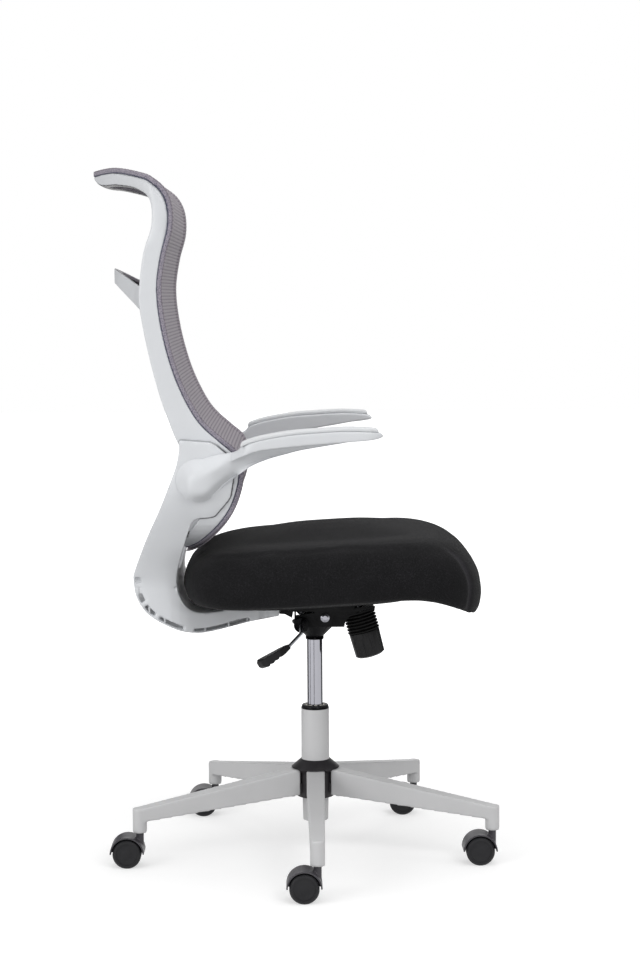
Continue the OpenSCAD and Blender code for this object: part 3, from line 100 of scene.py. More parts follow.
class Slot(Enum):
    """Material slots of the record."""

    LIGHT_GREY = "light_grey"
    PAD_GREY = "pad_grey"
    BASE_GREY = "base_grey"
    DARK_GREY = "dark_grey"
    BLACK_PLASTIC = "black_plastic"
    MECH_BLACK = "mech_black"
    HUB_BLACK = "hub_black"
    HOOD_GREY = "hood_grey"
    WHEEL_BLACK = "wheel_black"
    WHITE_PLASTIC = "white_plastic"
    RUBBER_BLACK = "rubber_black"
    STEEL = "steel"
    SPRING_STEEL = "spring_steel"
    CHROME = "chrome"
    SEAT_FABRIC = "seat_fabric"
    MESH_FABRIC = "mesh_fabric"
    BAND_FABRIC = "band_fabric"


# Materials

def linear(rgb: Sequence[int]) -> tuple[float, float, float, float]:
    """Turn an sRGB colour in 0..255 into the linear values that a shader takes.

    Args:
        rgb: red, green and blue as seen on a screen.

    Returns:
        The linear colour with full alpha.
    """
    out = []
    for value in rgb:
        share = value / 255.0
        out.append(share / 12.92 if share <= 0.04045 else ((share + 0.055) / 1.055) ** 2.4)
    return out[0], out[1], out[2], 1.0


class Nodes:
    """A node tree with short calls for what the finishes and the world share."""

    def __init__(self, tree: bpy.types.NodeTree) -> None:
        """Empty a tree.

        Args:
            tree: node tree of a material or a world.
        """
        self.tree = tree
        self.tree.nodes.clear()

    def node(self, kind: str, **settings: object) -> bpy.types.Node:
        """Add a node.

        Args:
            kind: Blender's name of the node type.
            **settings: attributes to set on the node.

        Returns:
            The new node.
        """
        made = self.tree.nodes.new(kind)
        for key, value in settings.items():
            setattr(made, key, value)
        return made

    def link(self, source: bpy.types.NodeSocket, target: bpy.types.NodeSocket) -> None:
        """Join two sockets.

        Args:
            source: output socket.
            target: input socket.
        """
        self.tree.links.new(source, target)

    def math(self, kind: str, a: object, b: object = 0.0) -> bpy.types.NodeSocket:
        """Add a Math node.

        Args:
            kind: operation.
            a: first value or socket.
            b: second value or socket.

        Returns:
            The result's socket.
        """
        made = self.node("ShaderNodeMath", operation=kind)
        for socket, value in zip(made.inputs, (a, b)):
            if isinstance(value, bpy.types.NodeSocket):
                self.link(value, socket)
            else:
                socket.default_value = float(value)
        return made.outputs[0]

    def weighted(self, *layers: tuple[object, float]) -> bpy.types.NodeSocket:
        """Add patterns up by weight.

        Args:
            *layers: socket and weight of each pattern.

        Returns:
            The sum's socket.
        """
        total = None
        for pattern, weight in layers:
            part = self.math("MULTIPLY", pattern, weight)
            total = part if total is None else self.math("ADD", total, part)
        return total

    def shown(self) -> bpy.types.NodeSocket:
        """Give 1 on the rays of the camera, and on those that metal and glass send on.

        Returns:
            The value's socket.
        """
        path = self.node("ShaderNodeLightPath")
        seen = path.outputs["Is Camera Ray"]
        for name in ("Is Glossy Ray", "Is Transmission Ray"):
            seen = self.math("MAXIMUM", seen, path.outputs[name])
        return seen

    def mixed(self, factor: object, first: object, second: object) -> bpy.types.NodeSocket:
        """Mix two shaders.

        Args:
            factor: socket that is 0 for the first and 1 for the second.
            first: first shader's socket.
            second: second shader's socket.

        Returns:
            The mixed shader's socket.
        """
        made = self.node("ShaderNodeMixShader")
        for socket, source in zip(made.inputs, (factor, first, second)):
            self.link(source, socket)
        return made.outputs["Shader"]


class Shader(Nodes):
    """A material with one shader and the patterns that feed it."""

    def __init__(self, name: str) -> None:
        """Start an empty material with one shader.

        Args:
            name: name of the material.
        """
        self.material = bpy.data.materials.new(name)
        self.material.use_nodes = True
        super().__init__(self.material.node_tree)
        self.output = self.node("ShaderNodeOutputMaterial")
        self.bsdf = self.node("ShaderNodeBsdfPrincipled")
        self.link(self.bsdf.outputs["BSDF"], self.output.inputs["Surface"])
        self.coords = self.node("ShaderNodeTexCoord").outputs["Object"]

    def paint(self, factor: object, *stops: tuple[float, Sequence[float]]) -> None:
        """Colour the shader by a ramp.

        Args:
            factor: socket that drives the ramp.
            *stops: places and linear colours.
        """
        self.link(self.ramp(factor, stops), self.bsdf.inputs["Base Color"])

    def roughen(self, factor: object, rough: Span, span: Span = (0.0, 1.0)) -> None:
        """Vary the shader's roughness.

        Args:
            factor: socket that drives it.
            rough: roughness at the low and the high end.
            span: low and high end of the factor.
        """
        self.link(self.span(factor, *rough, *span), self.bsdf.inputs["Roughness"])

    def noise(self, scale: float, detail: float = 2.0, coords: object = None) -> bpy.types.NodeSocket:
        """Add a 3-D noise in object space.

        Args:
            scale: features per metre.
            detail: octaves.
            coords: other coordinates than the object's.

        Returns:
            The noise factor's socket.
        """
        made = self.node("ShaderNodeTexNoise")
        made.inputs["Scale"].default_value = scale
        made.inputs["Detail"].default_value = detail
        self.link(coords or self.coords, made.inputs["Vector"])
        return made.outputs["Fac"]

    def cells(self, scale: float, coords: object = None) -> bpy.types.NodeSocket:
        """Add a 3-D Voronoi pattern in object space.

        Args:
            scale: cells per metre.
            coords: other coordinates than the object's.

        Returns:
            The distance's socket.
        """
        made = self.node("ShaderNodeTexVoronoi")
        made.inputs["Scale"].default_value = scale
        self.link(coords or self.coords, made.inputs["Vector"])
        return made.outputs["Distance"]

    def stretched(self, scale: Sequence[float]) -> bpy.types.NodeSocket:
        """Give the object coordinates stretched along the axes.

        Args:
            scale: factor for each axis.

        Returns:
            The stretched coordinates' socket.
        """
        made = self.node("ShaderNodeMapping")
        made.inputs["Scale"].default_value = tuple(scale)
        self.link(self.coords, made.inputs["Vector"])
        return made.outputs["Vector"]

    def ramp(self, factor: object, stops: Sequence[tuple[float, Sequence[float]]]) -> bpy.types.NodeSocket:
        """Add a colour ramp.

        Args:
            factor: socket that drives the ramp.
            stops: places and linear colours.

        Returns:
            The colour's socket.
        """
        made = self.node("ShaderNodeValToRGB")
        elements = made.color_ramp.elements
        while len(elements) < len(stops):
            elements.new(0.5)
        for element, (place, colour) in zip(elements, stops):
            element.position = place
            element.color = tuple(colour)
        self.link(factor, made.inputs["Fac"])
        return made.outputs["Color"]

    def span(self, factor: object, low: float, high: float, from_low: float = 0.0,
             from_high: float = 1.0) -> bpy.types.NodeSocket:
        """Map a factor to a range.

        Args:
            factor: socket to map.
            low: result at the low end.
            high: result at the high end.
            from_low: low end of the factor.
            from_high: high end of the factor.

        Returns:
            The mapped value's socket.
        """
        made = self.node("ShaderNodeMapRange")
        for name, value in (("From Min", from_low), ("From Max", from_high), ("To Min", low),
                            ("To Max", high)):
            made.inputs[name].default_value = value
        self.link(factor, made.inputs["Value"])
        return made.outputs["Result"]

    def attribute(self, name: str) -> bpy.types.NodeSocket:
        """Read a float attribute of the mesh.

        Args:
            name: name of the attribute.

        Returns:
            The value's socket.
        """
        return self.node("ShaderNodeAttribute", attribute_name=name).outputs["Fac"]

    def bump(self, *layers: tuple[object, float, float]) -> None:
        """Stack bump layers and feed them to the shader.

        Args:
            *layers: height socket, strength and depth in metres of each layer.
        """
        normal = None
        for height, strength, depth in layers:
            made = self.node("ShaderNodeBump")
            made.inputs["Strength"].default_value = strength
            made.inputs["Distance"].default_value = depth
            self.link(height, made.inputs["Height"])
            if normal is not None:
                self.link(normal, made.inputs["Normal"])
            normal = made.outputs["Normal"]
        self.link(normal, self.bsdf.inputs["Normal"])

    def set(self, **values: float) -> None:
        """Set constants on the shader's own sockets.

        Args:
            **values: socket names, with underscores for spaces, and their values.
        """
        for name, value in values.items():
            self.bsdf.inputs[name.replace("_", " ")].default_value = value


@dataclass(frozen=True)
class Finish:
    """A moulded or metal finish.

    Attributes:
        colour: sRGB colour.
        shade: how much the mottling darkens it, as a share.
        rough: lowest and highest roughness.
        grain: moulded grain, in cells per metre.
        grain_depth: height of the grain in metres.
        metallic: 1 for metal.
        specular: specular level.
        brushed: stretch of the grain along Z for turned or drawn metal.
    """

    colour: tuple[int, int, int]
    shade: float = 0.04
    rough: tuple[float, float] = (0.38, 0.5)
    grain: float = 1400.0
    grain_depth: float = 0.00006
    metallic: float = 0.0
    specular: float = 0.5
    brushed: float = 1.0


FINISHES = {
    Slot.LIGHT_GREY: Finish((213, 215, 218), 0.02, (0.36, 0.46), 1500, 0.00004),
    Slot.PAD_GREY: Finish((213, 215, 217), 0.03, (0.5, 0.62), 1100, 0.00007),
    Slot.BASE_GREY: Finish((203, 203, 204), 0.03, (0.4, 0.52), 1300, 0.00006),
    Slot.DARK_GREY: Finish((62, 62, 66), 0.08, (0.5, 0.6), 1300, 0.00006),
    Slot.BLACK_PLASTIC: Finish((20, 20, 22), 0.1, (0.36, 0.5), 1300, 0.00006, specular=0.22),
    Slot.MECH_BLACK: Finish((7, 7, 9), 0.12, (0.45, 0.6), 900, 0.0001, specular=0.13),
    Slot.HUB_BLACK: Finish((34, 32, 35), 0.08, (0.42, 0.55), 1200, 0.00006, specular=0.35),
    Slot.HOOD_GREY: Finish((61, 59, 64), 0.07, (0.34, 0.46), 1300, 0.00005, specular=0.4),
    Slot.WHEEL_BLACK: Finish((29, 29, 32), 0.12, (0.42, 0.6), 1000, 0.00007, specular=0.3),
    Slot.WHITE_PLASTIC: Finish((222, 219, 210), 0.04, (0.4, 0.5), 1200, 0.00005),
    Slot.RUBBER_BLACK: Finish((14, 14, 15), 0.12, (0.55, 0.7), 900, 0.00008, specular=0.18),
    Slot.STEEL: Finish((165, 167, 172), 0.1, (0.28, 0.4), 700, 0.00003, metallic=1.0,
                       brushed=0.15),
    Slot.SPRING_STEEL: Finish((112, 114, 118), 0.15, (0.3, 0.45), 700, 0.00003, metallic=1.0),
    Slot.CHROME: Finish((146, 146, 152), 0.05, (0.1, 0.16), 500, 0.00001, metallic=1.0,
                        brushed=0.1),
}


# Patterns of the moulded finishes: features per metre, the stretch of a noise that counts, and
# the grey of the painted shade on the light grey mouldings
MOTTLE_SCALE = 9.0
MOTTLE_SPAN = (0.3, 0.72)
MOTTLE_DEPTH = 2.2
SMEAR_SCALE = 42.0
SMEAR_SPAN = (0.3, 0.7)
FINE_GRAIN = 1.7
PAINTED_SHADE_GREY = (46, 45, 49)


def moulded(slot: Slot, finish: Finish) -> bpy.types.Material:
    """Make a moulded plastic or metal material.

    The light grey one is darkened by painted shade where the piece's dark attribute says so.

    Args:
        slot: slot that the material is for.
        finish: its numbers.

    Returns:
        The material.
    """
    shader = Shader(slot.value + "_finish")
    base = linear(finish.colour)
    dark = tuple(c * (1 - finish.shade * MOTTLE_DEPTH) for c in base[:3]) + (1.0,)
    coords = shader.stretched((1.0, 1.0, finish.brushed))
    mottle = shader.noise(MOTTLE_SCALE, 3.0)
    tone = shader.ramp(mottle, tuple(zip(MOTTLE_SPAN, (dark, base))))
    # Painted shade: the dark attribute mixes the light grey towards a dark grey where shade falls
    if slot is Slot.LIGHT_GREY:
        shade = shader.node("ShaderNodeMix", data_type="RGBA")
        shader.link(shader.attribute("dark"), shade.inputs["Factor"])
        shader.link(tone, shade.inputs[6])
        shade.inputs[7].default_value = linear(PAINTED_SHADE_GREY)
        tone = shade.outputs[2]
    shader.link(tone, shader.bsdf.inputs["Base Color"])
    shader.roughen(shader.noise(SMEAR_SCALE, 4.0, coords), finish.rough, SMEAR_SPAN)
    grain = shader.cells(finish.grain, coords)
    fine = shader.noise(finish.grain * FINE_GRAIN, 2.0, coords)
    shader.bump((fine, 0.35, finish.grain_depth), (grain, 0.5, finish.grain_depth))
    shader.set(Metallic=finish.metallic, Specular_IOR_Level=finish.specular)
    return shader.material


def seat_fabric() -> bpy.types.Material:
    """Make the black knitted seat cover.

    Returns:
        The material.
    """
    shader = Shader("seat_fabric_finish")
    knit = shader.cells(scale=620.0)
    thread = shader.cells(scale=1500.0)
    nap = shader.noise(scale=26.0, detail=4.0)
    seam = shader.attribute("seam")
    # Painted highlight: the seam attribute lightens the knit along the sewn shoulder
    tone = shader.weighted((knit, 0.55), (thread, 0.2), (nap, 0.35), (seam, 0.5))
    shader.paint(tone, (0.2, linear((16, 16, 17))), (0.55, linear((24, 24, 25))),
                 (1.0, linear((44, 43, 46))))
    shader.roughen(nap, (0.78, 0.95))
    shader.bump((nap, 0.25, 0.0012), (thread, 0.5, 0.0002), (knit, 0.8, 0.0005))
    shader.set(Sheen_Weight=0.05, Sheen_Roughness=0.4, Specular_IOR_Level=0.08)
    return shader.material


def mesh_fabric() -> bpy.types.Material:
    """Make the ribbed knit of the back. The ribs' phase is in the mesh's rib attribute.

    Returns:
        The material.
    """
    shader = Shader("mesh_fabric_finish")
    rib = shader.attribute("rib")
    thread = shader.cells(scale=1150.0, coords=shader.stretched((1.0, 0.45, 1.0)))
    blotch = shader.noise(scale=14.0, detail=3.0)
    tone = shader.weighted((rib, 0.72), (thread, 0.2), (blotch, 0.16))
    shader.paint(tone, (0.1, linear((72, 67, 76))), (0.4, linear((122, 115, 123))),
                 (0.95, linear((150, 143, 150))))
    shader.roughen(thread, (0.7, 0.9))
    shader.bump((thread, 0.6, 0.0003))
    shader.set(Sheen_Weight=0.15, Sheen_Roughness=0.5, Specular_IOR_Level=0.3)
    return shader.material


def band_fabric() -> bpy.types.Material:
    """Make the woven edge tape. Its edge attribute is 1 where the tape meets the rail, where a painted
    shadow of the gap darkens the tape to deep blue.

    Returns:
        The material.
    """
    shader = Shader("band_fabric_finish")
    edge = shader.attribute("edge")
    dots = shader.cells(scale=430.0)
    thread = shader.cells(scale=1300.0)
    # Painted shadow: the edge attribute darkens the tape along the rail
    tone = shader.weighted((dots, 0.9), (edge, -0.75), (thread, 0.25))
    shader.paint(tone, (0.0, linear((58, 62, 86))), (0.3, linear((108, 104, 117))),
                 (0.75, linear((152, 146, 156))))
    shader.roughen(thread, (0.65, 0.85))
    shader.bump((dots, 0.8, 0.0005), (thread, 0.5, 0.0002))
    shader.set(Sheen_Weight=0.15, Sheen_Roughness=0.5, Specular_IOR_Level=0.3)
    return shader.material


class Materials:
    """All finishes of the chair, made once and handed out by slot."""

    def __init__(self) -> None:
        """Make every finish."""
        self._made = {slot: moulded(slot, finish) for slot, finish in FINISHES.items()}
        self._made[Slot.SEAT_FABRIC] = seat_fabric()
        self._made[Slot.MESH_FABRIC] = mesh_fabric()
        self._made[Slot.BAND_FABRIC] = band_fabric()

    def of(self, slot: Slot) -> bpy.types.Material:
        """Give a slot's material.

        Args:
            slot: the slot.

        Returns:
            Its material.
        """
        return self._made[slot]

    def dress(self, piece: bpy.types.Object, slot: Slot) -> bpy.types.Object:
        """Put a slot's material on all of a piece.

        Args:
            piece: object to dress.
            slot: its slot.

        Returns:
            The piece.
        """
        piece.data.materials.clear()
        piece.data.materials.append(self.of(slot))
        return piece


# Mesh work

def new_piece(name: str, mesh: bpy.types.Mesh) -> bpy.types.Object:
    """Link a mesh to the scene as a piece.

    Args:
        name: name of the piece.
        mesh: its mesh.

    Returns:
        The new object.
    """
    piece = bpy.data.objects.new(name, mesh)
    bpy.context.scene.collection.objects.link(piece)
    return piece


@contextmanager
def edited(mesh: bpy.types.Mesh) -> Iterator[bmesh.types.BMesh]:
    """Open a mesh for bmesh operators and write it back at the end.

    Args:
        mesh: the mesh, which may be empty.

    Yields:
        The open mesh.
    """
    work = bmesh.new()
    work.from_mesh(mesh)
    yield work
    work.to_mesh(mesh)
    work.free()


def read_points(piece: bpy.types.Object, what: str) -> np.ndarray:
    """Read a value of three numbers from every point of a mesh.

    Args:
        piece: object with a mesh.
        what: Blender's name of the value.

    Returns:
        The values as rows.
    """
    out = np.empty(len(piece.data.vertices) * 3)
    piece.data.vertices.foreach_get(what, out)
    return out.reshape(-1, 3)


def points_of(piece: bpy.types.Object) -> np.ndarray:
    """Read a mesh's points as rows."""
    return read_points(piece, "co")


def normals_of(piece: bpy.types.Object) -> np.ndarray:
    """Read a mesh's point normals as rows."""
    return read_points(piece, "normal")


def set_points(piece: bpy.types.Object, points: np.ndarray) -> None:
    """Write a mesh's points.

    Args:
        piece: object with a mesh.
        points: rows of coordinates.
    """
    piece.data.vertices.foreach_set("co", points.ravel())
    piece.data.update()


def tree_of(points: Sequence[Sequence[float]]) -> kdtree.KDTree:
    """Make a search tree of points.

    Args:
        points: places of three numbers.

    Returns:
        The tree, whose finds give the points' numbers.
    """
    tree = kdtree.KDTree(len(points))
    for i, point in enumerate(points):
        tree.insert(point, i)
    tree.balance()
    return tree


def apply_all(piece: bpy.types.Object) -> bpy.types.Object:
    """Apply a piece's modifiers to its mesh.

    Args:
        piece: the piece.

    Returns:
        The piece.
    """
    bpy.context.view_layer.update()
    evaluated = piece.evaluated_get(bpy.context.evaluated_depsgraph_get())
    mesh = bpy.data.meshes.new_from_object(evaluated)
    piece.modifiers.clear()
    old = piece.data
    piece.data = mesh
    bpy.data.meshes.remove(old)
    mesh.name = piece.name
    return piece


def shade_smooth(piece: bpy.types.Object, angle: float | None = None) -> bpy.types.Object:
    """Shade a piece smoothly, with sharp edges above an angle.

    Args:
        piece: the piece.
        angle: limit in degrees, or nothing for smooth everywhere.

    Returns:
        The piece.
    """
    mesh = piece.data
    mesh.polygons.foreach_set("use_smooth", [True] * len(mesh.polygons))
    if angle is not None:
        mesh.set_sharp_from_angle(angle=math.radians(angle))
    mesh.update()
    return piece


def cad_copy(name: str, node: str) -> bpy.types.Object:
    """Copy a CAD node's mesh into a new piece with its points merged.

    Args:
        name: name of the piece.
        node: CAD node.

    Returns:
        The new piece.
    """
    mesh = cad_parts[node].data.copy()
    mesh.name = name
    with edited(mesh) as work:
        bmesh.ops.remove_doubles(work, verts=work.verts, dist=MERGE)
    for layer in list(mesh.attributes):
        if layer.name.startswith("sharp"):
            mesh.attributes.remove(layer)
    return new_piece(name, mesh)


# Degrees: edges under the first are dissolved, and edges under the second shade smoothly
FLAT_ANGLE = 1.0
ROUND_ANGLE = 40.0


def bevelled(name: str, node: str, width: float, segments: int = 2,
             angle: float = 32.0) -> bpy.types.Object:
    """Copy a CAD node and round its edges.

    Args:
        name: name of the piece.
        node: CAD node.
        width: width of the rounding in mm.
        segments: facets of the rounding.
        angle: edges above this angle are rounded.

    Returns:
        The new piece.
    """
    piece = cad_copy(name, node)
    with edited(piece.data) as work:
        bmesh.ops.dissolve_limit(work, angle_limit=math.radians(FLAT_ANGLE), verts=work.verts,
                                 edges=work.edges)
    rounding = piece.modifiers.new("rounding", "BEVEL")
    rounding.width = width * MM
    rounding.segments = segments
    rounding.limit_method = "ANGLE"
    rounding.angle_limit = math.radians(angle)
    rounding.harden_normals = False
    apply_all(piece)
    return shade_smooth(piece, ROUND_ANGLE)


def remeshed(piece: bpy.types.Object, voxel: float) -> bpy.types.Object:
    """Rebuild a piece's surface on a voxel grid.

    Args:
        piece: the piece.
        voxel: size of the grid in mm.

    Returns:
        The piece.
    """
    grid = piece.modifiers.new("grid", "REMESH")
    grid.mode = "VOXEL"
    grid.voxel_size = voxel * MM
    grid.adaptivity = 0.0
    return apply_all(piece)


def softened(piece: bpy.types.Object, turns: int, factor: float = 0.5) -> bpy.types.Object:
    """Smooth a piece's surface.

    Args:
        piece: the piece.
        turns: how many times.
        factor: strength of each turn.

    Returns:
        The piece.
    """
    soft = piece.modifiers.new("soft", "SMOOTH")
    soft.factor = factor
    soft.iterations = turns
    return apply_all(piece)


def relaxed(piece: bpy.types.Object, turns: int, weight: np.ndarray,
            axes: Sequence[int] = (1,)) -> bpy.types.Object:
    """Round a piece's faces by smoothing one coordinate only, so that its outline stays.

    Args:
        piece: the piece.
        turns: how many times.
        weight: strength for each point, from 0 to 1.
        axes: which coordinates are smoothed.

    Returns:
        The piece.
    """
    mesh = piece.data
    ends = np.empty(len(mesh.edges) * 2, dtype=np.int64)
    mesh.edges.foreach_get("vertices", ends)
    a, b = ends[0::2], ends[1::2]
    points = points_of(piece)
    count = len(points)
    near = np.maximum(np.bincount(a, minlength=count) + np.bincount(b, minlength=count), 1)
    for axis in axes:
        value = points[:, axis].copy()
        for _ in range(turns):
            total = np.bincount(a, weights=value[b], minlength=count)
            total += np.bincount(b, weights=value[a], minlength=count)
            value += 0.5 * weight * (total / near - value)
        points[:, axis] = value
    set_points(piece, points)
    return piece


def nearness(piece: bpy.types.Object, other: bpy.types.Object, reach: float) -> np.ndarray:
    """Measure how near a moulding's points are to another moulding.

    Args:
        piece: moulding whose points are measured.
        other: moulding beside it.
        reach: distance in mm that counts as 0.

    Returns:
        A value from 0 to 1 for each point.
    """
    far, points = points_of(other), points_of(piece)
    low, high = far.min(0) - reach * MM, far.max(0) + reach * MM
    tree = tree_of(far)
    near = np.zeros(len(points))
    for i in np.flatnonzero(np.all((points > low) & (points < high), axis=1)):
        near[i] = max(0.0, 1 - tree.find(points[i])[2] / MM / reach) ** 0.5
    return near


def from_line(flat: np.ndarray, line: Sequence[Sequence[float]]) -> tuple[np.ndarray, np.ndarray]:
    """Measure how far points lie from a line, seen from the chair's right side.

    Args:
        flat: X and Z of the points in mm, as rows.
        line: points of the line.

    Returns:
        Distances in mm, and the side: 1 where a point lies to the right of a line drawn downwards.
    """
    best, sign = np.full(len(flat), FAR_AWAY), np.ones(len(flat))
    nodes = np.asarray(line, float)
    for a, b in zip(nodes[:-1], nodes[1:]):
        along = b - a
        t = np.clip(((flat - a) @ along) / (along @ along), 0, 1)
        away = flat - a - t[:, None] * along
        distance = np.linalg.norm(away, axis=1)
        side = np.sign(along[0] * away[:, 1] - along[1] * away[:, 0])
        closer = distance < best
        best, sign = np.where(closer, distance, best), np.where(closer, side, sign)
    return best, sign


def thinned(piece: bpy.types.Object, share: float) -> bpy.types.Object:
    """Collapse a piece's mesh to a share of its faces.

    Args:
        piece: the piece.
        share: share of the faces that stays.

    Returns:
        The piece.
    """
    thin = piece.modifiers.new("thin", "DECIMATE")
    thin.ratio = share
    return apply_all(piece)


def float_attribute(piece: bpy.types.Object, name: str, values: np.ndarray) -> None:
    """Store a float for each point.

    Args:
        piece: the piece.
        name: name of the attribute.
        values: one value for each point.
    """
    layer = piece.data.attributes.get(name) or piece.data.attributes.new(name, "FLOAT", "POINT")
    layer.data.foreach_set("value", np.asarray(values, dtype=np.float32))


def smooth_line(points: Sequence[Sequence[float]], steps: int) -> np.ndarray:
    """Draw a smooth line through points.

    Args:
        points: points of the line.
        steps: pieces in each stretch.

    Returns:
        The points of the smooth line.
    """
    p = [np.asarray(q, float) for q in points]
    out = []
    for i in range(len(p) - 1):
        a, b, c, d = p[max(i - 1, 0)], p[i], p[i + 1], p[min(i + 2, len(p) - 1)]
        for k in range(steps):
            t = k / steps
            out.append((2 * b + (c - a) * t + (2 * a - 5 * b + 4 * c - d) * t * t
                        + (3 * b - a - 3 * c + d) * t ** 3) / 2)
    out.append(p[-1])
    return np.array(out)


def ramp_up(value: np.ndarray, low: float, high: float) -> np.ndarray:
    """Rise smoothly from 0 to 1 between two values.

    Args:
        value: where to look.
        low: start of the rise.
        high: end of the rise.

    Returns:
        The share for each value.
    """
    t = np.clip((value - low) / (high - low), 0.0, 1.0)
    return t * t * (3 - 2 * t)


class Assembly:
    """What every sub-assembly shares: its materials and the way its pieces are put on bodies."""

    def __init__(self, materials: Materials) -> None:
        """Keep the materials.

        Args:
            materials: finishes of the chair.
        """
        self.materials = materials

    def place(self, piece: bpy.types.Object, body: str, slot: Slot, *nodes: str) -> bpy.types.Object:
        """Dress a finished piece, put it on its body and let it stand for CAD nodes.

        Args:
            piece: finished piece.
            body: body that it rides on.
            slot: slot of its finish.
            *nodes: CAD nodes that it replaces.

        Returns:
            The piece.
        """
        self.materials.dress(piece, slot)
        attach(piece, body)
        if nodes:
            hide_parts(*nodes)
        LOG.info("%s: %d faces on %s", piece.name, len(piece.data.polygons), body)
        return piece

    def moulding(self, name: str, node: str, voxel: float, turns: int,
                 faces: int = 90000) -> bpy.types.Object:
        """Turn a CAD node into a soft-edged moulding.

        Args:
            name: name of the piece.
            node: CAD node.
            voxel: grid in mm.
            turns: smoothing turns.
            faces: most faces that stay.

        Returns:
            The piece, not yet on a body.
        """
        piece = softened(remeshed(cad_copy(name, node), voxel), turns)
        count = len(piece.data.polygons)
        if count > faces:
            thinned(piece, faces / count)
        return shade_smooth(piece)


class BackLine:
    """Front line of the back, seen from the side, and the back's half width along it.

    Attributes:
        STEPS: pieces of the line between two of its points.
        LOOK: how far to each side the line's direction is taken, in metres.
        HEAD_MORE: how far the head's curve runs on past the edge, in mm.
        SEARCH: most that inset_of looks in from the edge, past the band, in mm.
        TURNS: halvings of inset_of.
    """

    STEPS = 24
    LOOK = 4 * MM
    HEAD_MORE = 4.0
    SEARCH = 4.0
    TURNS = 14

    def __init__(self) -> None:
        """Measure the line."""
        x0, z0 = BACK_CORNER
        line = [(x0 - BACK_DEPTH * a, z0 + BACK_HEIGHT * b) for a, b in FRONT_SHARES]
        self.line = smooth_line(line, self.STEPS) * MM
        step = np.linalg.norm(np.diff(self.line, axis=0), axis=1)
        self.arc = np.concatenate(([0.0], np.cumsum(step)))
        self.length = float(self.arc[-1])

    def at(self, s: np.ndarray) -> tuple[np.ndarray, np.ndarray, np.ndarray, np.ndarray]:
        """Give the line's points and forward normals.

        Args:
            s: distances along the line in metres.

        Returns:
            X and Z of the points, and X and Z of the normals.
        """
        here, ahead, behind = ([np.interp(place, self.arc, axis) for axis in self.line.T]
                               for place in (s, s + self.LOOK, s - self.LOOK))
        along_x, along_z = ahead[0] - behind[0], ahead[1] - behind[1]
        size = np.hypot(along_x, along_z)
        return here[0], here[1], along_z / size, -along_x / size

    def half_width(self, x: np.ndarray, z: np.ndarray, inset: object) -> np.ndarray:
        """Give the back's half width.

        Args:
            x: distance forward in mm.
            z: height in mm.
            inset: distance in from the outer edge in mm.

        Returns:
            Half widths in mm.
        """
        full = FRAME_HALF_W - inset
        head_depth = BACK_DEPTH * (1 - HEAD_ROUND_X)
        back = BACK_CORNER[0] - BACK_DEPTH * HEAD_ROUND_X - x
        u = np.clip(back / (head_depth + self.HEAD_MORE - inset), 0, 1)
        head = full * (1 - u ** HEAD_POWER) ** (1 / HEAD_POWER)
        low_h = BACK_HEIGHT * LOW_ROUND_Z
        v = np.clip((BACK_CORNER[1] + low_h - z) / (low_h - LOW_INSET * inset), 0, 1)
        low = full * np.sqrt(np.clip(1 - v ** LOW_POWER, 0, 1))
        return np.where(z >= BACK_CORNER[1] + BACK_HEIGHT * HEAD_SPLIT, head, low)

    def lift_of(self, points: np.ndarray) -> np.ndarray:
        """Find how far points stand in front of the line.

        Args:
            points: rows of coordinates in metres.

        Returns:
            Distances in mm.
        """
        tree = tree_of([(x, 0.0, z) for x, z in self.line])
        nearest = np.array([tree.find((x, 0, z))[1] for x, _, z in points])
        x, z, nx, nz = self.at(self.arc[nearest])
        return ((points[:, 0] - x) * nx + (points[:, 2] - z) * nz) / MM

    def inset_of(self, points: np.ndarray) -> np.ndarray:
        """Find how far in from the back's outer edge points lie.

        Args:
            points: rows of coordinates in metres.

        Returns:
            Distances in mm, between 0 and the band's width.
        """
        x, y, z = points.T / MM
        low, high = np.zeros(len(x)), np.full(len(x), BAND_W + self.SEARCH)
        for _ in range(self.TURNS):
            mid = (low + high) / 2
            inside = self.half_width(x, z, mid) > np.abs(y)
            low, high = np.where(inside, mid, low), np.where(inside, high, mid)
        return (low + high) / 2


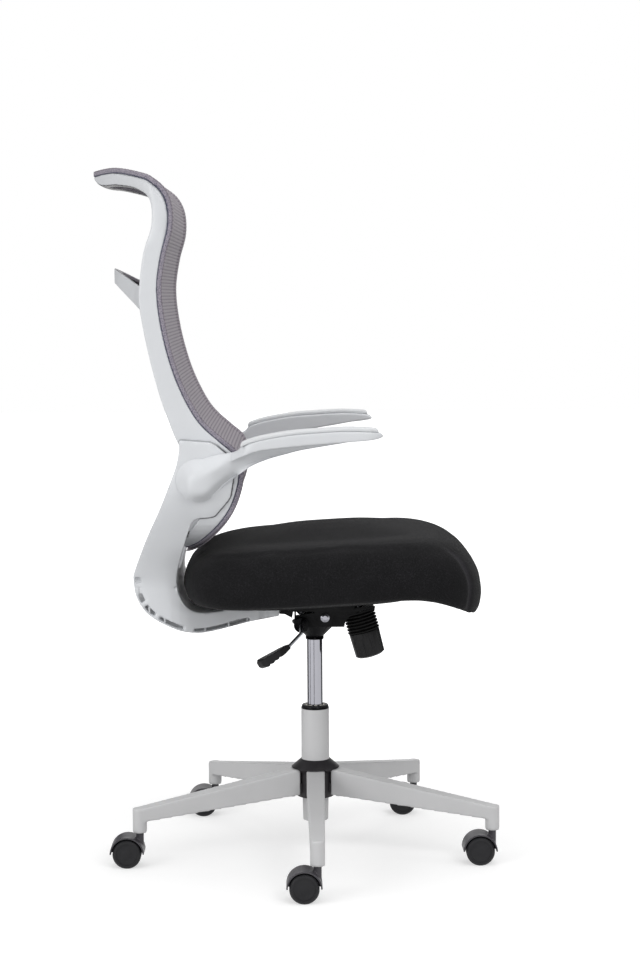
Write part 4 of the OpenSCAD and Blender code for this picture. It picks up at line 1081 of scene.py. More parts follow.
@dataclass
class Back(Assembly):
    """Hoop, mesh, edge band and coat hanger.

    Attributes:
        materials: finishes.
        line: front line of the back.
        rib_pitch: distance between the mesh's ribs in metres.
        rib_h: height of a rib in metres.
        row: distance between rows of the mesh in metres.
        columns: faces across the mesh.
        mesh_lift: distance of the mesh in front of the line in metres, inside the band.
        band_lift: the same where the mesh passes over the band.
        mesh_t: thickness of the mesh in metres.
        mesh_inset: distance of the mesh's edge in from the outer edge in mm.
        crowding: how much closer the mesh's columns stand at its edges, as a share.
        rib_round: power that rounds the ribs' tops.
        over_band: where the mesh comes down from the band, in mm past the band's width.
        tuck: how far the mesh's edge is tucked in, in metres.
        tuck_w: width of the tucked strip in mm.
        rail_lift: heights over the line, in mm, between which the band leaves the rail and its painted
            shadow fades out.
        rail_turns: smoothing turns of the hoop's rails below the head.
        rail_z: heights in metres where that smoothing sets in.
        rail_y: the same for the distance from the middle.
        curl_turns: smoothing turns of the head's curl.
        curl_z: heights in metres where that smoothing sets in.
        under_slope: how far down a face of the curl looks where painted shade darkens it.
        under_z: heights in metres where painted shade darkens it.
        inner_slope: how far inwards a face of the curl looks where painted shade darkens it.
        inner_z: heights in metres where painted shade darkens it.
        painted_shade_x: distances back in metres where both are darkened by painted shade.
    """

    materials: Materials
    line: BackLine
    rib_pitch: float = 5.8 * MM
    rib_h: float = 0.5 * MM
    row: float = 1.45 * MM
    columns: int = 72
    mesh_lift: float = 3.6 * MM
    band_lift: float = 8.6 * MM
    mesh_t: float = 1.2 * MM
    mesh_inset: float = 1.2
    crowding: float = 0.35
    rib_round: float = 0.7
    over_band: Span = (-1.0, 7.0)
    tuck: float = 1.6 * MM
    tuck_w: float = 3.5
    rail_lift: Span = (0.6, 1.8)
    rail_turns: int = 110
    rail_z: Span = (1.075, 1.105)
    rail_y: Span = (0.12, 0.16)
    curl_turns: int = 5
    curl_z: Span = (1.12, 1.16)
    under_slope: Span = (0.35, 0.8)
    under_z: Span = (1.13, 1.15)
    inner_slope: Span = (0.55, 0.85)
    inner_z: Span = (1.12, 1.15)
    painted_shade_x: Span = (0.25, 0.28)

    def build(self) -> bpy.types.Object:
        """Make every piece of the back.

        Returns:
            The hoop.
        """
        hoop = self.hoop()
        band = self.band()
        self.mesh(hoop, band)
        self.hanger()
        return hoop

    def hoop(self) -> bpy.types.Object:
        """Make the hoop.

        Returns:
            The piece.
        """
        piece = self.moulding("hoop_moulding", "back_frame", voxel=1.8, turns=5)
        _, y, z = points_of(piece).T
        relaxed(piece, self.rail_turns, ramp_up(z, *self.rail_z) * ramp_up(np.abs(y), *self.rail_y))
        relaxed(piece, self.curl_turns, ramp_up(z, *self.curl_z), (0, 1, 2))
        # Painted shade: faces of the head's curl that look down or inwards get the dark attribute, where
        # shade falls
        normals = normals_of(piece)
        x, y, z = points_of(piece).T
        under = ramp_up(-normals[:, 2], *self.under_slope) * ramp_up(z, *self.under_z)
        inner = ramp_up(-np.sign(y) * normals[:, 1], *self.inner_slope) * ramp_up(z, *self.inner_z)
        dark = np.maximum(under, inner) * ramp_up(-x, *self.painted_shade_x)
        float_attribute(piece, "dark", np.clip(dark, 0, 1))
        return self.place(piece, "tilt", Slot.LIGHT_GREY, "back_frame")

    def band(self) -> bpy.types.Object:
        """Make the woven edge band.

        Returns:
            The piece.
        """
        piece = self.moulding("edge_band", "mesh_band", voxel=1.7, turns=4)
        lift = self.line.lift_of(points_of(piece))
        # Painted shadow of the gap along the rail, carried by the edge attribute
        float_attribute(piece, "edge", 1 - ramp_up(lift, *self.rail_lift))
        return self.place(piece, "tilt", Slot.BAND_FABRIC, "mesh_band")

    def mesh(self, hoop: bpy.types.Object, band: bpy.types.Object) -> bpy.types.Object:
        """Make the ribbed mesh, stretched in the band.

        Args:
            hoop: hoop that the mesh is stretched over; not used.
            band: band round its edge; not used.

        Returns:
            The piece.
        """
        rows = int(round(self.line.length / self.row))
        data = bpy.data.meshes.new("back_mesh_cloth")
        with edited(data) as work:
            bmesh.ops.create_grid(work, x_segments=rows, y_segments=self.columns, size=1.0)
        piece = new_piece("back_mesh_cloth", data)
        flat = points_of(piece)
        s = (flat[:, 0] + 1) / 2 * self.line.length
        x, z, nx, nz = self.line.at(s)
        half = self.line.half_width(x / MM, z / MM, self.mesh_inset) * MM
        y = half * flat[:, 1] * (1 + self.crowding - self.crowding * flat[:, 1] ** 2)
        phase = s / self.rib_pitch
        wave = (0.5 + 0.5 * np.cos(2 * math.pi * phase)) ** self.rib_round
        inset = self.line.inset_of(np.column_stack((x, y, z)))
        over = 1 - ramp_up(inset - BAND_W, *self.over_band)
        lift = self.mesh_lift + (self.band_lift - self.mesh_lift) * over + self.rib_h * (wave - 0.5)
        lift -= self.tuck * np.clip(1 - inset / self.tuck_w, 0, 1) ** 2
        set_points(piece, np.column_stack((x + nx * lift, y, z + nz * lift)))
        float_attribute(piece, "rib", wave)
        with edited(piece.data) as work:
            bmesh.ops.remove_doubles(work, verts=work.verts, dist=2 * MERGE)
            bmesh.ops.recalc_face_normals(work, faces=work.faces)
        wall = piece.modifiers.new("wall", "SOLIDIFY")
        wall.thickness = self.mesh_t
        wall.offset = 0.0
        apply_all(piece)
        shade_smooth(piece)
        self.place(piece, "tilt", Slot.MESH_FABRIC, "back_mesh")
        x, z, _, _ = self.line.at(np.linspace(0, self.line.length, rows))
        widths = 2 * self.line.half_width(x / MM, z / MM, self.mesh_inset) * MM
        return piece

    def hanger(self) -> None:
        """Make the coat hanger and its facing."""
        hanger = self.moulding("hanger_moulding", "coat_hanger", voxel=1.4, turns=5)
        self.place(hanger, "tilt", Slot.LIGHT_GREY, "coat_hanger")
        inlay = self.moulding("hanger_inlay", "hanger_facing", voxel=1.2, turns=2)
        self.place(inlay, "tilt", Slot.DARK_GREY, "hanger_facing")


@dataclass
class Seat(Assembly):
    """Seat cushion and what holds it.

    Attributes:
        materials: finishes.
        voxel: grid of the cushion in mm.
        pressure: pressure of the filling.
        frames: steps of the simulation.
        quality: its steps a frame.
        cap: most that a point may swell in metres.
        shrink: how far the cushion starts inside its CAD solid in metres.
        sag: most that the filled cover lies inside its solid in metres.
        rise: most that it stands outside it in metres.
        drift: share of the cover's sideways travel that is kept.
        quick_fill: share of the shrink to give back where nothing is simulated; not used.
        seam_w: half width of a sewn seam in mm.
        seam_d: depth of a seam in mm.
        seam_slope: how far sideways the cover looks where the seam runs.
        SHOULDER: line of the sewn shoulder on the cushion's side, as X and Z in mm.
    """

    materials: Materials
    voxel: float = 6.0
    pressure: float = 4.0
    frames: int = 20
    quality: int = 5
    cap: float = 7 * MM
    shrink: float = 4 * MM
    sag: float = 0.8 * MM
    rise: float = 2.0 * MM
    drift: float = 0.5
    quick_fill: float = 0.9
    seam_w: float = 3.6
    seam_d: float = 2.4
    seam_slope: Span = (0.15, 0.4)

    SHOULDER = ((-236.0, 545.0), (-185.4, 569.0), (-122.1, 577.0), (-12.1, 582.9), (81.3, 587.3),
                (136.3, 586.9), (203.0, 579.7), (226.3, 566.1), (248.0, 544.1), (263.1, 506.9),
                (259.8, 461.4), (250.0, 440.0))

    def build(self) -> None:
        """Make the cushion and the pan under it."""
        self.cushion()
        self.place(bevelled("pan_shell", "seat_pan", width=1.2), "tilt", Slot.BLACK_PLASTIC, "seat_pan")

    def cushion(self) -> bpy.types.Object:
        """Make the padded cushion with its sewn shoulder.

        Returns:
            The piece.
        """
        piece = softened(remeshed(cad_copy("cushion_cover", "seat_cushion"), self.voxel), 6)
        points, normals = points_of(piece), normals_of(piece)
        set_points(piece, points - normals * self.shrink)
        self.swell(piece)
        moved = points_of(piece) - points
        outward = (moved * normals).sum(axis=1)
        wanted = np.clip(outward - outward.mean(), -self.sag, self.rise)
        kept = self.drift * (moved - outward[:, None] * normals)
        set_points(piece, points + kept + wanted[:, None] * normals)
        softened(piece, 2)
        fine = piece.modifiers.new("fine", "SUBSURF")
        fine.levels = fine.render_levels = 1
        apply_all(piece)
        self.sew(piece)
        shade_smooth(piece)
        self.place(piece, "tilt", Slot.SEAT_FABRIC, "seat_cushion")
        return piece

    def swell(self, piece: bpy.types.Object) -> None:
        """Blow the cover up a little by cloth simulation, with the points' travel capped.

        Args:
            piece: the cushion.
        """
        before = points_of(piece)
        cloth = piece.modifiers.new("filling", "CLOTH")
        settings = cloth.settings
        settings.use_pressure = True
        settings.uniform_pressure_force = self.pressure
        settings.effector_weights.gravity = 0.0
        settings.quality = self.quality
        cloth.collision_settings.use_collision = False
        cloth.point_cache.frame_start = 1
        cloth.point_cache.frame_end = self.frames
        scene = bpy.context.scene
        for number in range(1, self.frames + 1):
            scene.frame_set(number)
        apply_all(piece)
        scene.frame_set(1)
        moved = points_of(piece) - before
        length = np.linalg.norm(moved, axis=1)
        scale = np.where(length > self.cap, self.cap / np.maximum(length, 1 / FAR_AWAY), 1.0)
        set_points(piece, before + moved * scale[:, None])

    def sew(self, piece: bpy.types.Object) -> None:
        """Press the seams into the cover and store where they are, as a painted highlight for the fabric.

        Args:
            piece: the cushion.
        """
        points, normals = points_of(piece), normals_of(piece)
        side = ramp_up(np.abs(normals[:, 1]), *self.seam_slope)
        distance, _ = from_line(points[:, [0, 2]] / MM, smooth_line(self.SHOULDER, steps=10))
        groove_and_highlight = np.exp(-(distance / self.seam_w) ** 2) * side
        set_points(piece, points - normals * (groove_and_highlight * self.seam_d * MM)[:, None])
        # The seam attribute is a painted highlight along the groove
        float_attribute(piece, "seam", groove_and_highlight)


@dataclass
class Support(Assembly):
    """Back support shell.

    Attributes:
        materials: finishes.
        voxel: grid in mm.
        facet: the soft crease down its legs, as X and Z in mm.
        facet_slope: how much the face beside the crease leans in.
        facet_most: most that it steps in, in mm.
        facet_top: height in mm where the step ends.
        facet_fade: length over which it fades there, in mm.
        facet_low: heights in mm where it sets in.
        facet_in: most that a stepped point lies inside the foot's width, in mm.
        outward: how far outwards a face looks where the pockets and the step are cut.
        split_z: height where the foot ends, in mm.
        split_more: how far under that height the legs are drawn in, in mm.
        taper_h: height over which the legs widen again, in mm.
        taper_share: shares of the legs' half width outside which they are drawn in.
        foot: half width of the foot against X, in mm.
        leg: half width of the legs against the height, in mm.
        pocket_more: extra depth of the pockets between the ribs, in mm.
        pocket_x: where the row of pockets begins, in mm.
        pocket_run: length over which it begins, in mm.
        pocket_rim: height of the rim over the pockets, in mm.
        pocket_wall: how far inside the foot's width their floor begins, in mm.
        pocket_most: how far inside it their floor ends, in mm.
        pocket_shade: how dark the painted shade in the pockets is, from 0 to 1.
        ribs: places of the fine ribs in the pockets, in mm.
        rib_side: distances from a rib's middle between which its side falls, in mm.
        soft_turns: smoothing turns of the legs' outer faces.
        soft_z: heights in mm where they set in.
        soft_x: distances back in mm where they set in below that height.
        soft_slope: how far outwards a smoothed face looks.
        soft_y: least distance of a smoothed face from the middle, in mm.
        gap: how far the shell gives way beside the hoop, in mm.
        gap_reach: how far from the hoop it begins to, in mm.
        seam_w: width of the painted shadow line in the joint along the shell's edge in mm.
        seam_y: least distance of the joint from the middle in metres.
        seam_z: lowest height of the shell's rim beside the joint in metres.
        seam_more: how far the joint runs on over the shell's top in metres.
        seam_slope: how far outwards the hoop looks in the joint.
        seam_shadow: how dark the painted shadow in the joint is, from 0 to 1.
        seam_pale: how much paler it is at its upper end.
        upper_z: heights in metres where the upper end sets in.
        upper_x: places in metres where it ends again.
    """

    materials: Materials
    voxel: float = 1.8
    facet: Line = (
        (-228.0, 660.0), (-232.0, 640.0), (-237.4, 586.5), (-256.5, 539.1), (-259.4, 511.9),
        (-251.1, 472.7), (-232.3, 455.5), (-190.0, 438.0))
    facet_slope: float = 0.2
    facet_most: float = 7.0
    facet_top: float = 650.0
    facet_fade: float = 60.0
    facet_low: Span = (445.0, 470.0)
    facet_in: float = 1.5
    outward: Span = (0.3, 0.7)
    split_z: float = 499.5
    split_more: float = 0.8
    taper_h: float = 80.0
    taper_share: Span = (0.6, 0.9)
    foot: Line = ((-315.0, 154.7), (-248.0, 150.0), (-186.0, 119.0), (-111.6, 85.7), (-57.0, 85.7))
    leg: Line = (
        (499.5, 154.7), (537.1, 169.0), (578.2, 192.8), (615.8, 214.2), (646.6, 228.5),
        (673.9, 235.6), (756.0, 237.6))
    pocket_more: float = 5.0
    pocket_x: float = -300.0
    pocket_run: float = 4.0
    pocket_rim: float = 10.0
    pocket_wall: Span = (1.8, 3.2)
    pocket_most: float = 8.0
    pocket_shade: float = 0.55
    ribs: tuple[float, ...] = (-284.0, -272.0, -258.0, -226.0, -190.0, -150.0, -118.0, -84.0)
    rib_side: Span = (1.0, 2.2)
    soft_turns: int = 90
    soft_z: Span = (472.0, 486.0)
    soft_x: Span = (303.0, 309.0)
    soft_slope: Span = (0.35, 0.75)
    soft_y: float = 60.0
    gap: float = 0.8
    gap_reach: float = 2.4
    seam_w: float = 2.6
    seam_y: float = 0.17
    seam_z: float = 0.58
    seam_more: float = 0.01
    seam_slope: float = 0.3
    seam_shadow: float = 0.95
    seam_pale: float = 0.55
    upper_z: Span = (0.735, 0.742)
    upper_x: Span = (-0.17, -0.155)

    def build(self, hoop: bpy.types.Object) -> bpy.types.Object:
        """Make the shell.

        Args:
            hoop: hoop that it joins.

        Returns:
            The piece.
        """
        piece = self.moulding("support_moulding", "back_support", voxel=self.voxel, turns=3)
        points, normals = points_of(piece), normals_of(piece)
        x, y, z = points.T / MM
        side = np.sign(y)
        outward = ramp_up(side * normals[:, 1], *self.outward)
        sunk = self.taper(points)
        pocket, clear = self.pockets(x, z, sunk)
        pocket *= outward
        depth = clear * (sunk + self.pocket_more) - sunk
        points[:, 1] -= side * pocket * depth * MM
        points[:, 1] -= side * self.step(x, z, sunk) * outward * MM
        set_points(piece, points)
        soft = np.maximum(ramp_up(z, *self.soft_z), ramp_up(-x, *self.soft_x))
        soft *= ramp_up(side * normals_of(piece)[:, 1], *self.soft_slope)
        relaxed(piece, self.soft_turns, soft * (np.abs(y) > self.soft_y), (0, 2, 1))
        near = nearness(piece, hoop, self.gap_reach)
        set_points(piece, points_of(piece) - normals_of(piece) * (near * self.gap * MM)[:, None])
        # Painted shade on the pockets' floors, through the dark attribute
        float_attribute(piece, "dark", np.clip(self.pocket_shade * pocket * clear, 0, 1))
        # Painted shadow in the joint with the shell, added to the hoop's painted shade
        float_attribute(hoop, "dark", np.maximum(self.painted_shade_of(hoop), self.seam(hoop, piece)))
        return self.place(shade_smooth(piece), "tilt", Slot.LIGHT_GREY, "back_support")

    def taper(self, points: np.ndarray) -> np.ndarray:
        """Draw the legs in where they meet the foot.

        Args:
            points: the shell's points in metres, which are moved.

        Returns:
            How far each point lay inside the foot's width, in mm.
        """
        x, y, z = points.T / MM
        foot, leg = np.array(self.foot), np.array(self.leg)
        narrow = np.interp(x, foot[:, 0], foot[:, 1])
        wide = np.interp(z, leg[:, 0], leg[:, 1])
        up = ramp_up(z, self.split_z, self.split_z + self.taper_h)
        share = narrow / leg[0, 1] * (1 - up) + up
        above = (z > self.split_z - self.split_more) * ramp_up(np.abs(y) / wide, *self.taper_share)
        points[:, 1] *= 1 - (1 - share) * above
        return narrow - np.abs(y)

    def pockets(self, x: np.ndarray, z: np.ndarray,
                sunk: np.ndarray) -> tuple[np.ndarray, np.ndarray]:
        """Find the pockets between the ribs of the foot.

        Args:
            x: distances forward in mm.
            z: heights in mm.
            sunk: how far the points lie inside the foot's width in mm.

        Returns:
            Whether a point lies on a pocket's floor, and whether it is clear of the ribs, both
            from 0 to 1.
        """
        level = np.where(x < self.pocket_x, self.split_z, self.split_z - self.pocket_rim)
        pocket = (z < level) * ramp_up(sunk, *self.pocket_wall) * (sunk < self.pocket_most)
        clear = ramp_up(x, self.pocket_x - self.pocket_run, self.pocket_x)
        for rib in self.ribs:
            clear *= ramp_up(np.abs(x - rib), *self.rib_side)
        return pocket, clear

    def step(self, x: np.ndarray, z: np.ndarray, sunk: np.ndarray) -> np.ndarray:
        """Measure the step beside the soft crease down the legs.

        Args:
            x: distances forward in mm.
            z: heights in mm.
            sunk: how far the points lie inside the foot's width in mm.

        Returns:
            How far each point steps in, in mm.
        """
        distance, side = from_line(np.column_stack((x, z)), self.facet)
        step = np.clip(distance * side * self.facet_slope, 0, self.facet_most)
        step *= ramp_up(self.facet_top - z, 0.0, self.facet_fade) * ramp_up(z, *self.facet_low)
        return step * (sunk < self.facet_in)

    def seam(self, hoop: bpy.types.Object, shell: bpy.types.Object) -> np.ndarray:
        """Find the hoop's points that lie in the joint along the shell's edge, seen from the side, where a
        shadow line is painted.

        Args:
            hoop: the hoop.
            shell: the shell.

        Returns:
            How dark the painted shadow makes each of the hoop's points, from 0 to 1.
        """
        points, normals, rim = points_of(hoop), normals_of(hoop), points_of(shell)
        x, y, z = points.T
        chosen = (np.abs(y) > self.seam_y) & (z < rim[:, 2].max() + self.seam_more)
        chosen &= np.sign(y) * normals[:, 1] > self.seam_slope
        rim, seen = rim[rim[:, 2] > self.seam_z], points.copy()
        for rows in (rim, seen):
            rows[:, 1] = np.copysign(self.seam_y, rows[:, 1])
        tree = tree_of(rim)
        dark = np.zeros(len(points))
        for i in np.flatnonzero(chosen):
            dark[i] = float(np.clip(self.seam_w - tree.find(seen[i])[2] / MM, 0, 1))
        upper = ramp_up(z, *self.upper_z) * (1 - ramp_up(x, *self.upper_x))
        return dark * (self.seam_shadow - self.seam_pale * upper)

    @staticmethod
    def painted_shade_of(piece: bpy.types.Object) -> np.ndarray:
        """Read how dark a piece's points already are from painted shade.

        Args:
            piece: the piece.

        Returns:
            One value for each point.
        """
        values = np.empty(len(piece.data.vertices), dtype=np.float32)
        piece.data.attributes["dark"].data.foreach_get("value", values)
        return values


@dataclass
class Arms(Assembly):
    """Both armrests.

    Attributes:
        materials: finishes.
        crease: the crease on an arm's outer face, as X and Z in mm.
        low: lower line of an arm, as shares of its length and height.
        top: top line of an arm, as shares of its length and height.
        arm_l: length of an arm in mm.
        arm_h: height of an arm in mm.
        root_r: radius of the round root in mm.
        inner_y: distance of the web's inner face from the middle in mm.
        web_y: distance of the web's outer face from the middle in mm.
        web_more: how far past that face its points count as the web's, in mm.
        web_slope: how far outwards the web's outer face looks.
        undercut: how much the face below the crease leans in.
        undercut_h: height over which it does, in mm.
        undercut_x: distances forward in mm where it sets in.
        crease_d: depth of the crease itself in mm.
        crease_w: distances below the crease in mm between which it falls.
        ridge: how far the face above the crease stands out at the root, in mm.
        ridge_x: distances forward in mm where it rises.
        ridge_end: distances forward in mm where it ends.
        ridge_w: distances above the crease in mm between which it rises.
        soft_y: distances from the middle in mm outside which the arm is smoothed.
        soft_x: distances forward in mm where the strong smoothing ends.
        soft_turns: smoothing turns, first by the root and then all along.
        web_share: distances from the top and the lower line that count inwards, as shares.
        root_soft: width of the root's dome in mm, at its top and at its foot.
        root_h: height over which one turns into the other, in mm.
        web_from: distance in front of the root's middle where the web begins, in mm.
        web_soft: width of the web's dome in mm, above and below its middle.
        edge: share at the outline itself, below which nothing stands out.
        free_x: distances forward in mm where the arm stands free of the shell.
    """

    materials: Materials
    crease: Line = (
        (-215.0, 668.0), (-190.0, 684.0), (-170.7, 701.5), (-154.1, 717.9), (-125.6, 732.5),
        (-97.4, 741.0), (-69.0, 745.0), (-25.5, 749.5), (42.3, 754.7), (88.5, 758.0),
        (111.3, 762.6))
    low: Line = ((0, -0.37), (0.075, -0.28), (0.18, 0), (0.265, 0.215), (0.315, 0.312), (0.39, 0.41))
    top: Line = ((0, 0.37), (0.1, 0.47), (0.19, 0.52), (0.225, 0.58), (0.25, 0.665), (0.34, 0.765))
    arm_l: float = 308.0
    arm_h: float = 90.0
    root_r: float = 36.0
    inner_y: float = 238.3
    web_y: float = 262.3
    web_more: float = 2.5
    web_slope: Span = (0.1, 0.6)
    undercut: float = 0.5
    undercut_h: float = 24.0
    undercut_x: Span = (-178.0, -135.0)
    crease_d: float = 1.5
    crease_w: Span = (-2.0, 3.0)
    ridge: float = 9.0
    ridge_x: Span = (-212.0, -150.0)
    ridge_end: Span = (-118.0, -98.0)
    ridge_w: Span = (-5.0, 4.0)
    soft_y: Span = (239.5, 243.0)
    soft_x: Span = (-140.0, -95.0)
    soft_turns: tuple[int, int] = (50, 6)
    web_share: Span = (0.87, 0.8)
    root_soft: Span = (24.0, 12.0)
    root_h: float = 26.0
    web_from: float = 15.0
    web_soft: Span = (20.0, 9.0)
    edge: float = -0.08
    free_x: Span = (-162.0, -104.0)

    def build(self) -> None:
        """Make both arms with their pads."""
        for side, sign in (("right", -1), ("left", 1)):
            arm = self.moulding(f"arm_{side}_moulding", f"arm_{side}", voxel=1.7, turns=4)
            self.sculpt(arm, sign)
            self.place(shade_smooth(arm), f"{side}_arm", Slot.LIGHT_GREY, f"arm_{side}")
            pad = self.moulding(f"arm_pad_{side}_top", f"arm_pad_{side}", voxel=1.6, turns=5)
            self.place(pad, f"{side}_arm", Slot.PAD_GREY, f"arm_pad_{side}")

    def sculpt(self, arm: bpy.types.Object, sign: int) -> None:
        """Dome the root, raise the ridge above the crease and cut in under it.

        Args:
            arm: the arm.
            sign: side of the chair.
        """
        points, normals = points_of(arm), normals_of(arm)
        x, y, z = points[:, 0] / MM, sign * points[:, 1] / MM, points[:, 2] / MM
        points[:, 1] = sign * (self.inner_y + (y - self.inner_y) * self.dome(x, z)) * MM
        line = np.array(self.crease)
        depth = np.interp(x, line[:, 0], line[:, 1]) - z
        web = ramp_up(sign * normals[:, 1], *self.web_slope) * (y < self.web_y + self.web_more)
        raised = self.ridge * ramp_up(x, *self.ridge_x) * (1 - ramp_up(x, *self.ridge_end))
        raised *= ramp_up(-depth, *self.ridge_w)
        lower = self.crease_d + self.undercut * np.clip(depth, 0, self.undercut_h)
        lower *= ramp_up(depth, *self.crease_w)
        lower *= ramp_up(x, *self.undercut_x)
        points[:, 1] += sign * (raised - lower) * web * MM
        set_points(arm, points)
        outer = ramp_up(sign * points_of(arm)[:, 1] / MM, *self.soft_y)
        relaxed(arm, self.soft_turns[0], (1 - ramp_up(x, *self.soft_x)) * outer)
        relaxed(arm, self.soft_turns[1], outer)

    def dome(self, x: np.ndarray, z: np.ndarray) -> np.ndarray:
        """Give the share of the web's thickness that is left where its root runs into the shell.

        Args:
            x: distances forward in mm.
            z: heights in mm.

        Returns:
            Shares between 0 and 1.
        """
        place = np.array(ARM_ROOT)
        size = np.array((self.arm_l, self.arm_h))
        lines = (smooth_line(place + np.array(line) * size, steps=6) for line in (self.top, self.low))
        top, low = (np.interp(x, line[:, 0], line[:, 1]) for line in lines)
        web = np.minimum((top - z) * self.web_share[0], (z - low) * self.web_share[1])
        disc = self.root_r - np.hypot(x - place[0], z - place[1])
        inside = np.maximum(disc, np.where(x > place[0], web, -1.0))
        high, foot = self.root_soft
        soft = high - (high - foot) * ramp_up(place[1] - z, 0.0, self.root_h)
        web_soft = np.where(z > (top + low) / 2, *self.web_soft)
        soft = np.where(x > place[0] + self.web_from, web_soft, soft)
        share = ramp_up(np.clip(inside, 0, None) / soft, self.edge, 1.0)
        free = ramp_up(x, *self.free_x)
        return share * (1 - free) + free


@dataclass
class Base(Assembly):
    """Star base, hub and column.

    Attributes:
        materials: finishes.
        tube_more: how far the tube's rim stands above its solid in mm.
        tube_rim: height in mm above which the tube's points are its rim's.
        collar_more: how far the collar's rim stands above its solid in mm.
        collar_rim: height in mm above which the collar's points are its rim's.
        collar_low: height in mm under which they are its lower edge's, which goes with the tube.
        crown_section: section of the bush's rim, as radius and height in mm.
        teeth: teeth round the bush's rim.
        tooth: depth of the gaps between the teeth in mm.
        tooth_steps: facets of a tooth and its gap together.
        crown_top: height in mm above which the points are the teeth's.
    """

    materials: Materials
    tube_more: float = 4.5
    tube_rim: float = 250.0
    collar_more: float = 1.2
    collar_rim: float = 262.0
    collar_low: float = 256.5
    crown_section: Line = ((14.5, 262.0), (17.6, 262.0), (18.2, 266.0), (15.2, 266.2))
    teeth: int = 10
    tooth: float = 1.6
    tooth_steps: int = 4
    crown_top: float = 265.5

    def build(self) -> None:
        """Make the star, the hub and the tube."""
        star = self.moulding("star_moulding", "star_legs", voxel=2.0, turns=3)
        self.place(star, "base", Slot.BASE_GREY, "star_legs")
        self.place(bevelled("hub_cone", "hub", width=0.8), "base", Slot.HUB_BLACK, "hub")
        tube = bevelled("column_sleeve", "column_tube", width=0.5)
        self.lift(tube, self.tube_rim, self.tube_more)
        self.place(tube, "base", Slot.BASE_GREY, "column_tube")
        collar = bevelled("collar_ring", "column_collar", width=0.9, segments=3)
        self.lift(collar, self.collar_rim, self.collar_more)
        self.lift(collar, self.tube_rim, self.tube_more, self.collar_low)
        self.place(collar, "base", Slot.BLACK_PLASTIC, "column_collar")
        self.place(self.crown(), "base", Slot.WHITE_PLASTIC)

    @staticmethod
    def lift(piece: bpy.types.Object, above: float, rise: float, below: float = math.inf) -> None:
        """Raise the points between two heights.

        Args:
            piece: the piece.
            above: lowest height in mm.
            rise: how far they go up in mm.
            below: highest height in mm.
        """
        points = points_of(piece)
        chosen = (points[:, 2] > above * MM) & (points[:, 2] < below * MM)
        points[chosen, 2] += rise * MM
        set_points(piece, points)

    def crown(self) -> bpy.types.Object:
        """Make the toothed rim of the guide bush, which shows inside the collar.

        Returns:
            The piece.
        """
        data = bpy.data.meshes.new("bush_crown")
        steps = self.teeth * self.tooth_steps
        with edited(data) as work:
            section = [work.verts.new((r * MM, 0, z * MM)) for r, z in self.crown_section]
            edges = [work.edges.new((section[i - 1], section[i])) for i in range(len(section))]
            bmesh.ops.spin(work, geom=section + edges, cent=(0, 0, 0), axis=(0, 0, 1),
                           angle=math.tau, steps=steps, use_merge=True)
            bmesh.ops.remove_doubles(work, verts=work.verts, dist=MERGE)
            bmesh.ops.recalc_face_normals(work, faces=work.faces)
            for vert in work.verts:
                number = round(math.atan2(vert.co.y, vert.co.x) / math.tau * steps)
                gap = number % self.tooth_steps < self.tooth_steps // 2
                if gap and vert.co.z > self.crown_top * MM:
                    vert.co.z -= self.tooth * MM
        return shade_smooth(new_piece("bush_crown", data), angle=30.0)


@dataclass
class Casters(Assembly):
    """Hoods and wheels of the five casters.

    Attributes:
        materials: finishes.
        tread_r: rounding of a wheel's edges in mm.
        tread_angle: edges of a wheel above this angle are rounded, in degrees.
        hood_faces: most faces of a hood.
    """

    materials: Materials
    tread_r: float = 1.1
    tread_angle: float = 28.0
    hood_faces: int = 24000

    def build(self) -> None:
        """Make every caster."""
        for i in CASTERS:
            hood = self.moulding(f"hood_{i}_moulding", f"caster_hood_{i}", voxel=0.9, turns=4,
                                 faces=self.hood_faces)
            self.place(hood, f"caster_{i}", Slot.HOOD_GREY, f"caster_hood_{i}")
            for side in ("right", "left"):
                node = f"wheel_{side}_{i}"
                wheel = bevelled(f"tread_{side}_{i}", node, width=self.tread_r, segments=3,
                                 angle=self.tread_angle)
                self.place(wheel, f"{side}_wheel_{i}", Slot.WHEEL_BLACK, node)


